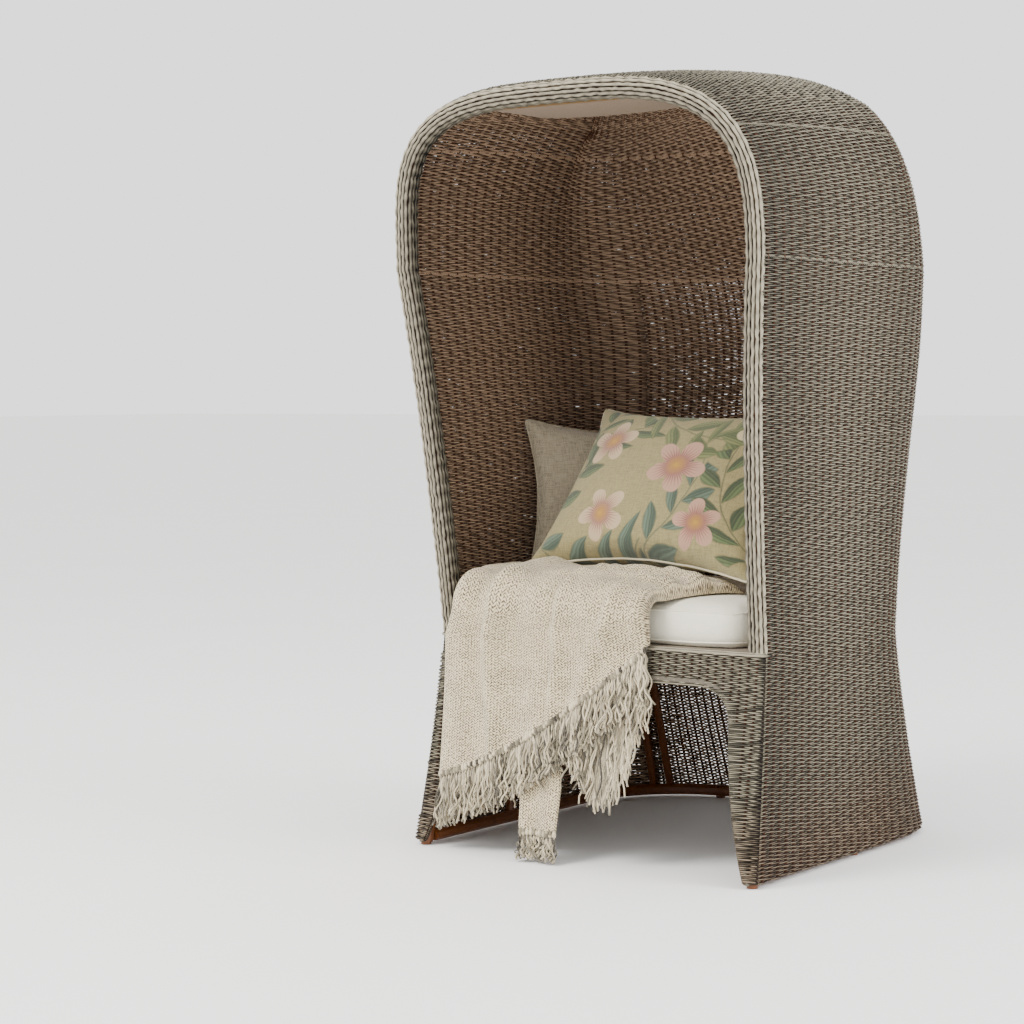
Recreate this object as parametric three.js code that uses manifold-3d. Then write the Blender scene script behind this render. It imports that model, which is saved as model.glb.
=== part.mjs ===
// Hooded wicker beach chair. One woven shell is side walls, back and domed hood together, bound round
// its open front by a thick border. Rattan poles inside carry it and the woven seat, and a loose seat
// cushion, two scatter cushions and a fringed throw lie on the seat.
// Millimetres, +Z up, the open front faces -Y, and the floor is at zero.
import * as THREE from "three";
import { mergeVertices } from "three/addons/utils/BufferGeometryUtils.js";
import Module from "manifold-3d";

const wasm = await Module();
wasm.setup();

// Outer face of the shell. Y is counted from the front of the waist.
const FLOOR_HALF_WIDTH = 388;
const WAIST_HALF_WIDTH = 366;
const SHOULDER_HALF_WIDTH = 410;
const WAIST_Z = 410;
const ARCH_TOP_Z = 1438;
const BULGE_SHARE = 0.6634;
const SHOULDER_SHARE = 0.7712;
const CROWN_RING_SHARE = 0.693;
const ROOF_RISE = 56;
const ROOF_PEAK_Y = 560;
const FOOT_FRONT_Y = -67;
const BROW_FRONT_Y = -83;
const TOP_FRONT_Y = -128;
const SIDE_RUN_Y = 459;
const FLOOR_BACK_Y = 781;
const WAIST_BACK_Y = 616;
const BULGE_BACK_Y = 720;
const RIDGE_END_Y = 298;
const PLAN_POWER = 2.66;
const ARCH_POWER = 3.28;
const BACK_POWER = 1.845;
const FLARE_POWER = 1.2;
const ELLIPSE_POWER = 2;
const WIDTH_SLOPE_SHARES = { waist: 0.504, shoulder: 1.827 };
const BACK_SLOPE_SHARES = { waist: 0.06, bulge: 0.427 };

// Places round the shell: the back's middle is zero, then come its diagonal, the start of the
// straight side and the front edge.
const DIAGONAL_SHARE = 1;
const STRAIGHT_SHARE = 2;
const FRONT_SHARE = 3;

// Materials of the shell and frame
const WEAVE_THICKNESS = 9;
const SEAT_GAP = 0.4;
const LEAN_ROOM = 0.5;
const FLOOR_RAIL_ROOM = 2.4;
const HOOP_RADIUS = 11;
const RIM_CORNER_RADIUS = 13;
const CORNER_RADIUS = 14;
const RAIL_RADIUS = 11.5;
const RING_RADIUS = 4.5;
const CROWN_RING_ROOM = 4.5;
const POST_RADIUS = 8;
const BEARER_RADIUS = 9;
const CANE_RADIUS = 4.5;
const GLIDE_RADIUS = 10;
const GLIDE_HEIGHT = 4;
const WEAVE_FLOOR_GAP = 3;
const PANEL_GAP_SHARE = 0.001;
const RIDGE_SHARE = 0.5;

// Seat and front apron
const SEAT_TOP_Z = 410;
const DECK_THICKNESS = 8;
const DECK_CLEARANCE = 1;
const APRON_BAND = 62;
const LEG_WIDTH = 68;
const LEG_SPRING_Z = 265;
const LEG_FOOT_WIDTH = 24;
const LEG_WAIST_SHARES = { in: 0.36, up: 0.45 };
const ARCH_CORNER = 82;
const BEARER_SPACING = 190;
const BEARER_COUNT = 3;
const CORNER_SEAM_SHARE = 1.05;
const CORNER_POST_SHARE = 0.085;
const SIDE_POST_SHARE = 2.45;
const SIDE_GLIDE_SHARE = 2.25;
const BACK_GLIDE_SHARE = 0.5;

// Soft pieces
const HOOD_LINING = {
  halfWidth: 176,
  depth: 168,
  endSetback: 5,
  roofRoom: 2.4,
  sag: 6,
};
const CUSHION = {
  halfWidth: 314,
  frontY: 10,
  backY: 590,
  thickness: 84,
  crown: 9,
  edgeDrop: 7,
  drawIn: 5,
  edgeRound: 13,
};
const CUSHION_POWERS = { front: 9, back: 3.2, edge: 8, round: 4 };
const PILLOW_POWERS = { flat: 4, swell: 0.6, seam: 0.35 };
const PRINT_PILLOW = {
  width: 492,
  height: 384,
  thickness: 135,
  edge: 7,
  drawIn: 16,
  x: 29,
  y: 230,
  tilt: 50,
  yaw: 0,
  roll: -1.6,
  settle: -0.4,
};
const PLAIN_PILLOW = {
  width: 385,
  height: 315,
  thickness: 90,
  edge: 7,
  drawIn: 10,
  x: -244,
  y: 436,
  tilt: 80,
  yaw: 58,
  roll: -3,
  settle: 2.2,
};
const THROW = {
  clearance: 0.9,
  leftBulk: 36,
  rightBulk: 20,
  hemThickness: 9,
  foldHeight: 8,
  folds: 4,
  leftTopX: -300,
  leftHangX: -326,
  rightX: 130,
  rearRightX: 232,
  rearY: 150,
  bend: 24,
  frontOffset: 4,
  leftDrop: 318,
  rightDrop: 50,
};
const HEM_SLOPE_SHARES = { left: 0.4, right: 1.4 };
const HANG_SPREAD_SHARE = 0.17;
const THROW_TAIL = {
  width: 112,
  endWidth: 74,
  thickness: 12,
  topX: -122,
  footX: -70,
  topZ: 334,
  footZ: 8,
  room: 1,
  tuckShare: 0.14,
  hangShare: 0.72,
  swing: 15,
};
const FRINGE = {
  length: 105,
  extra: 160,
  middleShare: 0.84,
  extraShare: 0.14,
  thickness: 5,
  pleat: 2.4,
  gap: 0.5,
};

const HOOP_INSET = WEAVE_THICKNESS + SEAT_GAP + LEAN_ROOM + HOOP_RADIUS;
const RIM_SIZE = 2 * HOOP_INSET;
const RAIL_INSET = WEAVE_THICKNESS + SEAT_GAP + LEAN_ROOM + RAIL_RADIUS;
const FLOOR_RAIL_INSET = RAIL_INSET + FLOOR_RAIL_ROOM;
const BASE_RAIL_Z = GLIDE_HEIGHT + SEAT_GAP + RAIL_RADIUS;
const SEAT_RAIL_Z = SEAT_TOP_Z - DECK_THICKNESS - SEAT_GAP - RAIL_RADIUS;
const ARCH_UNDERSIDE_Z = WAIST_Z - APRON_BAND;
const BULGE_Z = BULGE_SHARE * ARCH_TOP_Z;
const SHOULDER_Z = SHOULDER_SHARE * ARCH_TOP_Z;

// Counts of facets
const SIDE_STRAIGHTS = 4;
const ARC_STEPS = 6;
const WALL_ROWS = 7;
const BORDER_ROWS = 9;
const SKIRT_ROWS = 6;
const TIER_ROWS = 4;
const ROOF_ACROSS = 16;
const ROOF_ALONG = 14;
const ARCH_STEPS = 9;
const POLE_SIDES = 8;
const GLIDE_SIDES = 16;
const CORNER_STEPS = 3;
const LEG_STEPS = 5;
const LEG_TURN_STEPS = 6;
const APRON_CORNER_STEPS = 2;
const APRON_FACE_STEPS = 6;
const LINING_ACROSS = 12;
const LINING_ALONG = 4;
const CUSHION_STEPS = 12;
const CUSHION_LAYERS = 4;
const PILLOW_STEPS = 10;
const THROW_ACROSS = 20;
const THROW_HANG_ROWS = 6;
const THROW_BEND_ROWS = 4;
const THROW_SEAT_ROWS = 4;
const TAIL_ACROSS = 4;
const TAIL_ROWS = 7;
const FRINGE_PLEATS = 48;
const FRINGE_ROWS = 2;

const OVERRUN = 30;
const HALF_TURN = 180;
const QUARTER_TURN = 90;

function material(colour, roughness) {
  return new THREE.MeshStandardMaterial({ color: colour, roughness, metalness: 0 });
}

const wickerMaterial = () => material("#8f8678", 0.75);
const borderMaterial = () => material("#9a9184", 0.75);
const poleMaterial = () => material("#4a2b14", 0.5);
const caneMaterial = () => material("#7d7366", 0.7);
const glideMaterial = () => material("#2a2725", 0.5);
const cushionMaterial = () => material("#e4e1d8", 0.9);
const linenMaterial = () => material("#9b9181", 0.95);
const printMaterial = () => material("#c3b795", 0.95);
const knitMaterial = () => material("#c9bba6", 0.95);
const canvasMaterial = () => material("#a58a68", 0.95);

const radians = THREE.MathUtils.degToRad;
const mix = THREE.MathUtils.lerp;
const clampUnit = (value) => THREE.MathUtils.clamp(value, 0, 1);
const crownRingZ = mix(SHOULDER_Z, ARCH_TOP_Z, CROWN_RING_SHARE);

// A smooth rise from 0 to 1 with the given slopes at its two ends.
function easedShare(t, startSlope, endSlope) {
  const t2 = t * t;
  const t3 = t2 * t;
  return (t3 - 2 * t2 + t) * startSlope + (3 * t2 - 2 * t3) + (t3 - t2) * endSlope;
}

// Share of the way down from the waist to the floor, flaring faster near the floor.
function flareShare(z) {
  return Math.pow(clampUnit(1 - z / WAIST_Z), FLARE_POWER);
}

function halfWidthAt(z) {
  if (z <= WAIST_Z) return mix(WAIST_HALF_WIDTH, FLOOR_HALF_WIDTH, flareShare(z));
  const up = (z - WAIST_Z) / (SHOULDER_Z - WAIST_Z);
  const share = easedShare(up, WIDTH_SLOPE_SHARES.waist, WIDTH_SLOPE_SHARES.shoulder);
  return mix(WAIST_HALF_WIDTH, SHOULDER_HALF_WIDTH, share);
}

function backBelowBulge(z) {
  if (z <= WAIST_Z) return mix(WAIST_BACK_Y, FLOOR_BACK_Y, flareShare(z));
  const up = (z - WAIST_Z) / (BULGE_Z - WAIST_Z);
  const share = easedShare(up, BACK_SLOPE_SHARES.waist, BACK_SLOPE_SHARES.bulge);
  return mix(WAIST_BACK_Y, BULGE_BACK_Y, share);
}

function frontYAt(z) {
  if (z <= WAIST_Z) return FOOT_FRONT_Y * flareShare(z);
  if (z <= SHOULDER_Z) return (BROW_FRONT_Y * (z - WAIST_Z)) / (SHOULDER_Z - WAIST_Z);
  const rise = (z - SHOULDER_Z) / (ARCH_TOP_Z - SHOULDER_Z);
  return mix(BROW_FRONT_Y, TOP_FRONT_Y, rise * rise);
}

// One level line of the shell, at a depth below its outer face: a straight run back on each side
// and a rounded back. Above the shoulder the lines shrink towards the ridge by the arch's angle.
function levelAt({ z, angle }, inset) {
  const height = ARCH_TOP_Z - inset - SHOULDER_Z;
  const rise = angle === undefined ? 0 : Math.pow(Math.sin(radians(angle)), ELLIPSE_POWER / ARCH_POWER);
  const levelZ = angle === undefined ? z : SHOULDER_Z + height * rise;
  const half =
    angle === undefined
      ? halfWidthAt(z) - inset
      : (SHOULDER_HALF_WIDTH - inset) * Math.pow(Math.cos(radians(angle)), ELLIPSE_POWER / ARCH_POWER);
  const over = clampUnit((levelZ - BULGE_Z) / (ARCH_TOP_Z - inset - BULGE_Z));
  const rounded = Math.pow(1 - Math.pow(over, BACK_POWER), 1 / BACK_POWER);
  const back =
    levelZ <= BULGE_Z
      ? backBelowBulge(levelZ) - inset
      : mix(RIDGE_END_Y, BULGE_BACK_Y - inset, rounded);
  const front = angle === undefined ? frontYAt(z) : frontYAt(mix(SHOULDER_Z, ARCH_TOP_Z, rise));
  const centre = Math.min(SIDE_RUN_Y, back - CORNER_RADIUS);
  return { z: levelZ, half: Math.max(half, 0), back, front, centre, rise };
}

// A point of the shell at a place u round it, positive on the right and negative on the left.
function shellPoint(u, level, inset, frontRoom = 0) {
  const line = levelAt(level, inset);
  const side = Math.sign(u) || 1;
  const along = Math.abs(u);
  const turned = Math.min(along / STRAIGHT_SHARE, 1);
  const angle = radians(QUARTER_TURN * (1 - turned));
  const front = line.front + frontRoom;
  const point = new THREE.Vector3();
  point.x = side * line.half * (turned < 1 ? Math.pow(Math.cos(angle), ELLIPSE_POWER / PLAN_POWER) : 1);
  point.y =
    turned < 1
      ? mix(line.centre, line.back, Math.pow(Math.sin(angle), ELLIPSE_POWER / PLAN_POWER))
      : mix(line.centre, front, along - STRAIGHT_SHARE);
  const fromPeak = (point.y - ROOF_PEAK_Y) / (ROOF_PEAK_Y - line.front);
  point.z = line.z + ROOF_RISE * line.rise * line.rise * (1 - fromPeak * fromPeak);
  return point;
}

// The arch's angle at a height above the shoulder, on the outer face.
function archAngle(z) {
  const share = (z - SHOULDER_Z) / (ARCH_TOP_Z - SHOULDER_Z);
  return THREE.MathUtils.radToDeg(Math.asin(Math.pow(share, ARCH_POWER / ELLIPSE_POWER)));
}

function spread(from, to, steps) {
  return Array.from({ length: steps + 1 }, (_, i) => mix(from, to, i / steps));
}

function closedGeometry(geometry) {
  const bare = geometry.clone();
  bare.deleteAttribute("normal");
  bare.deleteAttribute("uv");
  return mergeVertices(bare);
}

// A closed sheet with a front and a back face: a box of one layer whose grid is laid where placeAt
// says, given a column, a row and whether the vertex is on the outer face.
function sheet(columns, rows, placeAt) {
  const box = new THREE.BoxGeometry(1, 1, 1, columns.length - 1, rows.length - 1, 1);
  const position = box.getAttribute("position");
  for (let v = 0; v < position.count; v++) {
    const i = Math.round((position.getX(v) + 0.5) * (columns.length - 1));
    const j = Math.round((position.getY(v) + 0.5) * (rows.length - 1));
    const place = placeAt(columns[i], rows[j], position.getZ(v) > 0);
    position.setXYZ(v, place.x, place.y, place.z);
  }
  return closedGeometry(box);
}

// A path through given points whose section is turned so that its second axis follows a direction.
class PointPath extends THREE.Curve {
  constructor(points, across) {
    super();
    this.points = points;
    this.across = across;
  }

  getPoint(t) {
    const place = t * (this.points.length - 1);
    const i = Math.min(Math.floor(place), this.points.length - 2);
    return this.points[i].clone().lerp(this.points[i + 1], place - i);
  }

  getPointAt(t) {
    return this.getPoint(t);
  }

  computeFrenetFrames(segments) {
    const frames = { tangents: [], normals: [], binormals: [] };
    for (let i = 0; i <= segments; i++) {
      const before = this.points[Math.max(i - 1, 0)];
      const after = this.points[Math.min(i + 1, segments)];
      const tangent = after.clone().sub(before).normalize();
      const binormal = this.across.clone().addScaledVector(tangent, -this.across.dot(tangent));
      binormal.normalize();
      frames.tangents.push(tangent);
      frames.binormals.push(binormal);
      frames.normals.push(binormal.clone().cross(tangent));
    }
    return frames;
  }
}

function sweep(section, points, across) {
  const path = new PointPath(points, across);
  const steps = points.length - 1;
  const settings = { steps, extrudePath: path, curveSegments: CORNER_STEPS };
  return closedGeometry(new THREE.ExtrudeGeometry(section, settings));
}

// A pole's section, with its flats at the radius.
function roundSection(radius) {
  const section = new THREE.Shape();
  const reach = radius / Math.cos(Math.PI / POLE_SIDES);
  for (let i = 0; i < POLE_SIDES; i++) {
    const angle = (2 * Math.PI * (i + 1 / 2)) / POLE_SIDES;
    const x = reach * Math.cos(angle);
    const y = reach * Math.sin(angle);
    if (i === 0) section.moveTo(x, y);
    else section.lineTo(x, y);
  }
  section.closePath();
  return section;
}

function pole(points, radius, across = new THREE.Vector3(0, 0, 1)) {
  return sweep(roundSection(radius), points, across);
}

function solid(geometry) {
  const position = geometry.getAttribute("position");
  return new wasm.Manifold(
    new wasm.Mesh({
      numProp: 3,
      vertProperties: new Float32Array(position.array),
      triVerts: new Uint32Array(geometry.index.array),
    }),
  );
}

function geometryOf(manifold) {
  const made = manifold.getMesh();
  const geometry = new THREE.BufferGeometry();
  geometry.setAttribute("position", new THREE.BufferAttribute(new Float32Array(made.vertProperties), 3));
  geometry.setIndex(new THREE.BufferAttribute(new Uint32Array(made.triVerts), 1));
  return geometry;
}

function cut(geometry, ...tools) {
  return geometryOf(tools.reduce((body, tool) => body.subtract(solid(tool)), solid(geometry)));
}

// Everything between two heights, as a cutting block.
function levelBlock(fromZ, toZ) {
  const reach = FLOOR_BACK_Y + OVERRUN;
  const block = new THREE.BoxGeometry(2 * reach, 2 * reach, toZ - fromZ);
  block.translate(0, 0, (fromZ + toZ) / 2);
  return closedGeometry(block);
}

const sideColumns = [
  ...spread(FRONT_SHARE, STRAIGHT_SHARE, SIDE_STRAIGHTS),
  ...spread(STRAIGHT_SHARE, CORNER_SEAM_SHARE + PANEL_GAP_SHARE, ARC_STEPS).slice(1),
];
const backEnd = CORNER_SEAM_SHARE - PANEL_GAP_SHARE;
const backColumns = spread(backEnd, -backEnd, 2 * ARC_STEPS);
const leftColumns = sideColumns.map((u) => -u).reverse();
const uColumns = [...sideColumns, ...backColumns, ...leftColumns];
const skirtHeights = spread(GLIDE_HEIGHT + WEAVE_FLOOR_GAP, WAIST_Z, SKIRT_ROWS);
const wallLevels = [
  ...skirtHeights,
  ...spread(WAIST_Z, SHOULDER_Z - RING_RADIUS - SEAT_GAP, WALL_ROWS).slice(1),
].map((z) => ({ z }));
const panelFrontRoom = RIM_SIZE + SEAT_GAP;

function weavePanel(columns, levels) {
  return sheet(columns, levels, (u, level, outer) =>
    shellPoint(u, level, outer ? 0 : WEAVE_THICKNESS, panelFrontRoom),
  );
}

// The U-shaped band between the shoulder ring and the crown ring.
function shoulderBand() {
  const fromAngle = archAngle(SHOULDER_Z + RING_RADIUS + SEAT_GAP);
  const toAngle = archAngle(crownRingZ - CROWN_RING_ROOM);
  const levels = spread(fromAngle, toAngle, TIER_ROWS).map((angle) => ({ angle }));
  return weavePanel(uColumns, levels);
}

// The domed top: level lines nest towards the ridge, and the grid's corners lie on the diagonals.
function roofPanel() {
  const rimAngle = archAngle(crownRingZ + CROWN_RING_ROOM);
  const across = spread(-1, 1, ROOF_ACROSS);
  const along = spread(0, 1, ROOF_ALONG);
  return sheet(across, along, (a, b, outer) => {
    const behind = Math.max(b - RIDGE_SHARE, 0) / (1 - RIDGE_SHARE);
    const level = Math.max(Math.abs(a), behind);
    const angle = mix(QUARTER_TURN, rimAngle, level);
    const atBack = behind >= Math.abs(a) && level > 0;
    const corner = mix(RIDGE_SHARE, 1, level);
    const u = atBack ? a / level : (a < 0 ? -1 : 1) * mix(FRONT_SHARE, DIAGONAL_SHARE, b / corner);
    return shellPoint(u, { angle }, outer ? 0 : WEAVE_THICKNESS, panelFrontRoom);
  });
}

// A ring pole woven in between two panels, at the middle of their thickness.
function wovenRing(level) {
  const points = uColumns.map((u) => shellPoint(u, level, WEAVE_THICKNESS / 2, panelFrontRoom));
  return pole(points, RING_RADIUS);
}

// Outline of the open front on the right, from the floor to the top of the arch, moved inwards.
function frontOutline(inset) {
  const lower = [0, ...skirtHeights];
  const upper = spread(WAIST_Z, SHOULDER_Z, BORDER_ROWS).slice(1);
  const levels = [
    ...[...lower, ...upper].map((z) => ({ z })),
    ...spread(0, QUARTER_TURN, ARCH_STEPS).slice(1).map((angle) => ({ angle })),
  ];
  const outer = levels.map((level) => shellPoint(FRONT_SHARE, level, 0));
  return outer.map((point, i) => {
    const before = i > 0 ? outer[i - 1] : point;
    const after = i < outer.length - 1 ? outer[i + 1] : new THREE.Vector3(-before.x, before.y, before.z);
    const run = after.clone().sub(before);
    const inward = new THREE.Vector3(-run.z, 0, run.x).normalize();
    const moved = point.clone().addScaledVector(inward, inset);
    return moved.setY(frontYAt(moved.z + (moved.z > SHOULDER_Z ? inset : 0)) + inset);
  });
}

function mirrored(points) {
  return points.map((p) => new THREE.Vector3(-p.x, p.y, p.z)).reverse();
}

function hoopPath(fromZ) {
  const right = frontOutline(HOOP_INSET).filter((p) => p.z > fromZ - OVERRUN / 2);
  return [...right, ...mirrored(right).slice(1)];
}

function frontHoop() {
  const points = hoopPath(0);
  const first = points[0].clone().add(points[0].clone().sub(points[1]).setLength(OVERRUN / 2));
  const last = points.at(-1).clone().add(points.at(-1).clone().sub(points.at(-2)).setLength(OVERRUN / 2));
  const made = pole([first, ...points, last], HOOP_RADIUS, new THREE.Vector3(0, 1, 0));
  return cut(made, levelBlock(-OVERRUN, GLIDE_HEIGHT + SEAT_GAP));
}

// The bound border: a rounded square sleeve over the hoop, from the apron's top round the arch.
function rimBorder() {
  const half = HOOP_INSET;
  const corner = RIM_CORNER_RADIUS;
  const quarter = radians(QUARTER_TURN);
  const section = new THREE.Shape();
  section.moveTo(half, corner - half);
  section.lineTo(half, half - corner);
  section.absarc(half - corner, half - corner, corner, 0, quarter);
  section.lineTo(corner - half, half);
  section.absarc(corner - half, half - corner, corner, quarter, Math.PI);
  section.lineTo(-half, corner - half);
  section.absarc(corner - half, corner - half, corner, Math.PI, Math.PI + quarter);
  section.lineTo(half - corner, -half);
  section.absarc(half - corner, corner - half, corner, Math.PI + quarter, 2 * Math.PI);
  section.holes.push(roundSection(HOOP_RADIUS + SEAT_GAP));
  const points = hoopPath(WAIST_Z);
  const made = sweep(section, points, new THREE.Vector3(0, 1, 0));
  return cut(made, levelBlock(WAIST_Z - OVERRUN, WAIST_Z + SEAT_GAP));
}

// A U-shaped rail inside the walls, from one front leg round the back to the other.
function uRail(z, inset) {
  const endRoom = inset + RAIL_RADIUS + SEAT_GAP;
  return pole(uColumns.map((u) => shellPoint(u, { z }, inset, endRoom)), RAIL_RADIUS);
}

// The arch opening's right half in front view, from the floor to the middle, grown by an amount.
function archOutline(grow) {
  const foot = new THREE.Vector2(FLOOR_HALF_WIDTH - LEG_FOOT_WIDTH, 0);
  const spring = new THREE.Vector2(halfWidthAt(LEG_SPRING_Z) - LEG_WIDTH, LEG_SPRING_Z);
  const lean = new THREE.Vector2(
    mix(spring.x, foot.x, LEG_WAIST_SHARES.in / 2),
    mix(foot.y, spring.y, LEG_WAIST_SHARES.up),
  );
  const shoulder = new THREE.Vector2(spring.x - ARCH_CORNER, ARCH_UNDERSIDE_Z);
  const leg = new THREE.QuadraticBezierCurve(foot, lean, spring).getPoints(LEG_STEPS);
  const turn = new THREE.QuadraticBezierCurve(
    spring,
    new THREE.Vector2(spring.x - ARCH_CORNER / HALF_TURN, ARCH_UNDERSIDE_Z),
    shoulder,
  ).getPoints(LEG_TURN_STEPS);
  const points = [...leg, ...turn.slice(1), new THREE.Vector2(0, ARCH_UNDERSIDE_Z)];
  return points.map((point, i) => {
    const before = points[Math.max(i - 1, 0)];
    const after = points[Math.min(i + 1, points.length - 1)];
    const run = after.clone().sub(before);
    const outward = new THREE.Vector2(run.y, -run.x).normalize();
    return point.clone().addScaledVector(outward, grow);
  });
}

function frontApron() {
  const cornerSteps = spread(0, QUARTER_TURN, APRON_CORNER_STEPS);
  const face = spread(-1, 1, APRON_FACE_STEPS).slice(1, -1);
  const columns = [
    { side: -1, end: true },
    ...cornerSteps.map((turn) => ({ side: -1, turn })),
    ...face.map((share) => ({ side: share, face: true })),
    ...[...cornerSteps].reverse().map((turn) => ({ side: 1, turn })),
    { side: 1, end: true },
  ];
  const panel = sheet(columns, skirtHeights, (column, z, outer) => {
    const inset = outer ? 0 : WEAVE_THICKNESS;
    const half = halfWidthAt(z) - inset;
    const front = frontYAt(z) + inset;
    const corner = CORNER_RADIUS - inset;
    if (column.end) return { x: column.side * half, y: frontYAt(z) + RIM_SIZE, z };
    if (column.face) return { x: column.side * (half - corner), y: front, z };
    const turn = radians(column.turn);
    return {
      x: column.side * (half - corner + corner * Math.cos(turn)),
      y: front + corner - corner * Math.sin(turn),
      z,
    };
  });
  const right = archOutline(2 * CANE_RADIUS + SEAT_GAP);
  const opening = new THREE.Shape();
  opening.moveTo(-right[0].x, -OVERRUN);
  right.forEach((p) => opening.lineTo(-p.x, p.y));
  right.slice(0, -1).reverse().forEach((p) => opening.lineTo(p.x, p.y));
  opening.lineTo(right[0].x, -OVERRUN);
  opening.closePath();
  const cutter = new THREE.ExtrudeGeometry(opening, { depth: RIM_SIZE - FOOT_FRONT_Y, bevelEnabled: false });
  cutter.rotateX(Math.PI / 2);
  cutter.translate(0, RIM_SIZE / 2, 0);
  return cut(panel, closedGeometry(cutter));
}

// The bent cane that edges the arched opening, in the thickness of the apron.
function archCane() {
  const right = archOutline(CANE_RADIUS).map(
    (p) => new THREE.Vector3(p.x, frontYAt(p.y) + WEAVE_THICKNESS / 2, p.y),
  );
  const points = [...right, ...mirrored(right).slice(1)];
  const grown = [
    points[0].clone().setZ(-OVERRUN / 2),
    ...points,
    points.at(-1).clone().setZ(-OVERRUN / 2),
  ];
  const made = pole(grown, CANE_RADIUS, new THREE.Vector3(0, 1, 0));
  return cut(made, levelBlock(-OVERRUN, GLIDE_HEIGHT + WEAVE_FLOOR_GAP));
}

// The plan curve of a rail's centre line at a place across the back.
function backYAt(x, z, inset) {
  const line = levelAt({ z }, inset);
  const share = Math.pow(1 - Math.pow(Math.abs(x) / line.half, PLAN_POWER), 1 / PLAN_POWER);
  return line.centre + (line.back - line.centre) * share;
}

// A short post between the floor rail and the seat rail, bent as the wall is.
function postBetweenRails(placeAt) {
  const from = BASE_RAIL_Z + RAIL_RADIUS + SEAT_GAP;
  const to = SEAT_RAIL_Z - RAIL_RADIUS - SEAT_GAP;
  const points = spread(from - POST_RADIUS, to + POST_RADIUS, SKIRT_ROWS).map((z) => placeAt(z));
  const post = pole(points, POST_RADIUS, new THREE.Vector3(1, 0, 0));
  return cut(post, levelBlock(from - OVERRUN, from), levelBlock(to, to + OVERRUN));
}

function wallPost(place) {
  return postBetweenRails((z) => shellPoint(place, { z }, RAIL_INSET));
}

function frontRailY() {
  return frontYAt(SEAT_RAIL_Z) + RAIL_INSET;
}

function seatFrontRail() {
  const half = halfWidthAt(SEAT_RAIL_Z) - RAIL_INSET - RAIL_RADIUS - 2 * SEAT_GAP;
  const points = [1, -1].map((side) => new THREE.Vector3(side * half, frontRailY(), SEAT_RAIL_Z));
  return pole(points, RAIL_RADIUS);
}

function seatBearer(x) {
  const from = frontRailY() + RAIL_RADIUS + SEAT_GAP;
  const outermost = Math.abs(x) + BEARER_RADIUS;
  const to = backYAt(outermost, SEAT_RAIL_Z, RAIL_INSET + RAIL_RADIUS + LEAN_ROOM) - SEAT_GAP;
  const z = SEAT_RAIL_Z + RAIL_RADIUS - BEARER_RADIUS;
  return pole([new THREE.Vector3(x, from, z), new THREE.Vector3(x, to, z)], BEARER_RADIUS);
}

// The woven seat lies on the rails and bearers and is notched round the two front legs.
function seatDeck() {
  const inset = WEAVE_THICKNESS + DECK_CLEARANCE;
  const level = { z: WAIST_Z };
  const legSide = halfWidthAt(WAIST_Z) - HOOP_INSET - HOOP_RADIUS - DECK_CLEARANCE;
  const legBack = HOOP_INSET + HOOP_RADIUS + DECK_CLEARANCE;
  const frontY = WEAVE_THICKNESS + DECK_CLEARANCE;
  const outline = new THREE.Shape();
  outline.moveTo(-legSide, frontY);
  outline.lineTo(legSide, frontY);
  outline.lineTo(legSide, legBack);
  uColumns.forEach((u) => {
    const point = shellPoint(u, level, inset, legBack);
    outline.lineTo(point.x, point.y);
  });
  outline.lineTo(-legSide, legBack);
  outline.closePath();
  const deck = new THREE.ExtrudeGeometry(outline, { depth: DECK_THICKNESS, bevelEnabled: false });
  deck.translate(0, 0, SEAT_TOP_Z - DECK_THICKNESS);
  return closedGeometry(deck);
}

// Height of the roof's inner face at a place in plan.
function roofUnderZ(x, y) {
  const height = ARCH_TOP_Z - WEAVE_THICKNESS - SHOULDER_Z;
  const across = Math.abs(x) / (SHOULDER_HALF_WIDTH - WEAVE_THICKNESS);
  const rise = Math.pow(1 - Math.pow(across, ARCH_POWER), 1 / ARCH_POWER);
  const fromPeak = (y - ROOF_PEAK_Y) / (ROOF_PEAK_Y - TOP_FRONT_Y);
  return SHOULDER_Z + height * rise + ROOF_RISE * rise * rise * (1 - fromPeak * fromPeak);
}

// The canvas-covered pad that lines the roof's front, level below and shaped to the roof above.
function hoodLining() {
  const rows = spread(1, 0, LINING_ALONG);
  return sheet(spread(-1, 1, LINING_ACROSS), rows, (a, back, outer) => {
    const x = a * HOOD_LINING.halfWidth;
    const setback = HOOD_LINING.endSetback * a * a * (1 - back);
    const y = TOP_FRONT_Y + RIM_SIZE + SEAT_GAP + setback + HOOD_LINING.depth * back;
    const under = ARCH_TOP_Z - RIM_SIZE - HOOD_LINING.sag * (1 - a * a) * back;
    return { x, y, z: outer ? under : roofUnderZ(x, y) - HOOD_LINING.roofRoom };
  });
}

function glide(point) {
  const made = new THREE.CylinderGeometry(GLIDE_RADIUS, GLIDE_RADIUS, GLIDE_HEIGHT, GLIDE_SIDES);
  made.rotateX(Math.PI / 2);
  made.translate(point.x, point.y, GLIDE_HEIGHT / 2);
  return closedGeometry(made);
}

// A point of a unit square drawn out to a rounded outline.
function roundedPlan(a, b, power) {
  const reach = Math.max(Math.abs(a), Math.abs(b));
  if (reach === 0) return { a, b };
  const length = Math.pow(Math.pow(Math.abs(a), power) + Math.pow(Math.abs(b), power), 1 / power);
  return { a: (a * reach) / length, b: (b * reach) / length };
}

function unitBoxMapped(steps, layers, placeAt) {
  const box = new THREE.BoxGeometry(2, 2, 2, steps, steps, layers);
  const position = box.getAttribute("position");
  for (let v = 0; v < position.count; v++) {
    const place = placeAt(position.getX(v), position.getY(v), position.getZ(v));
    position.setXYZ(v, place.x, place.y, place.z);
  }
  return closedGeometry(box);
}

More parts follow.
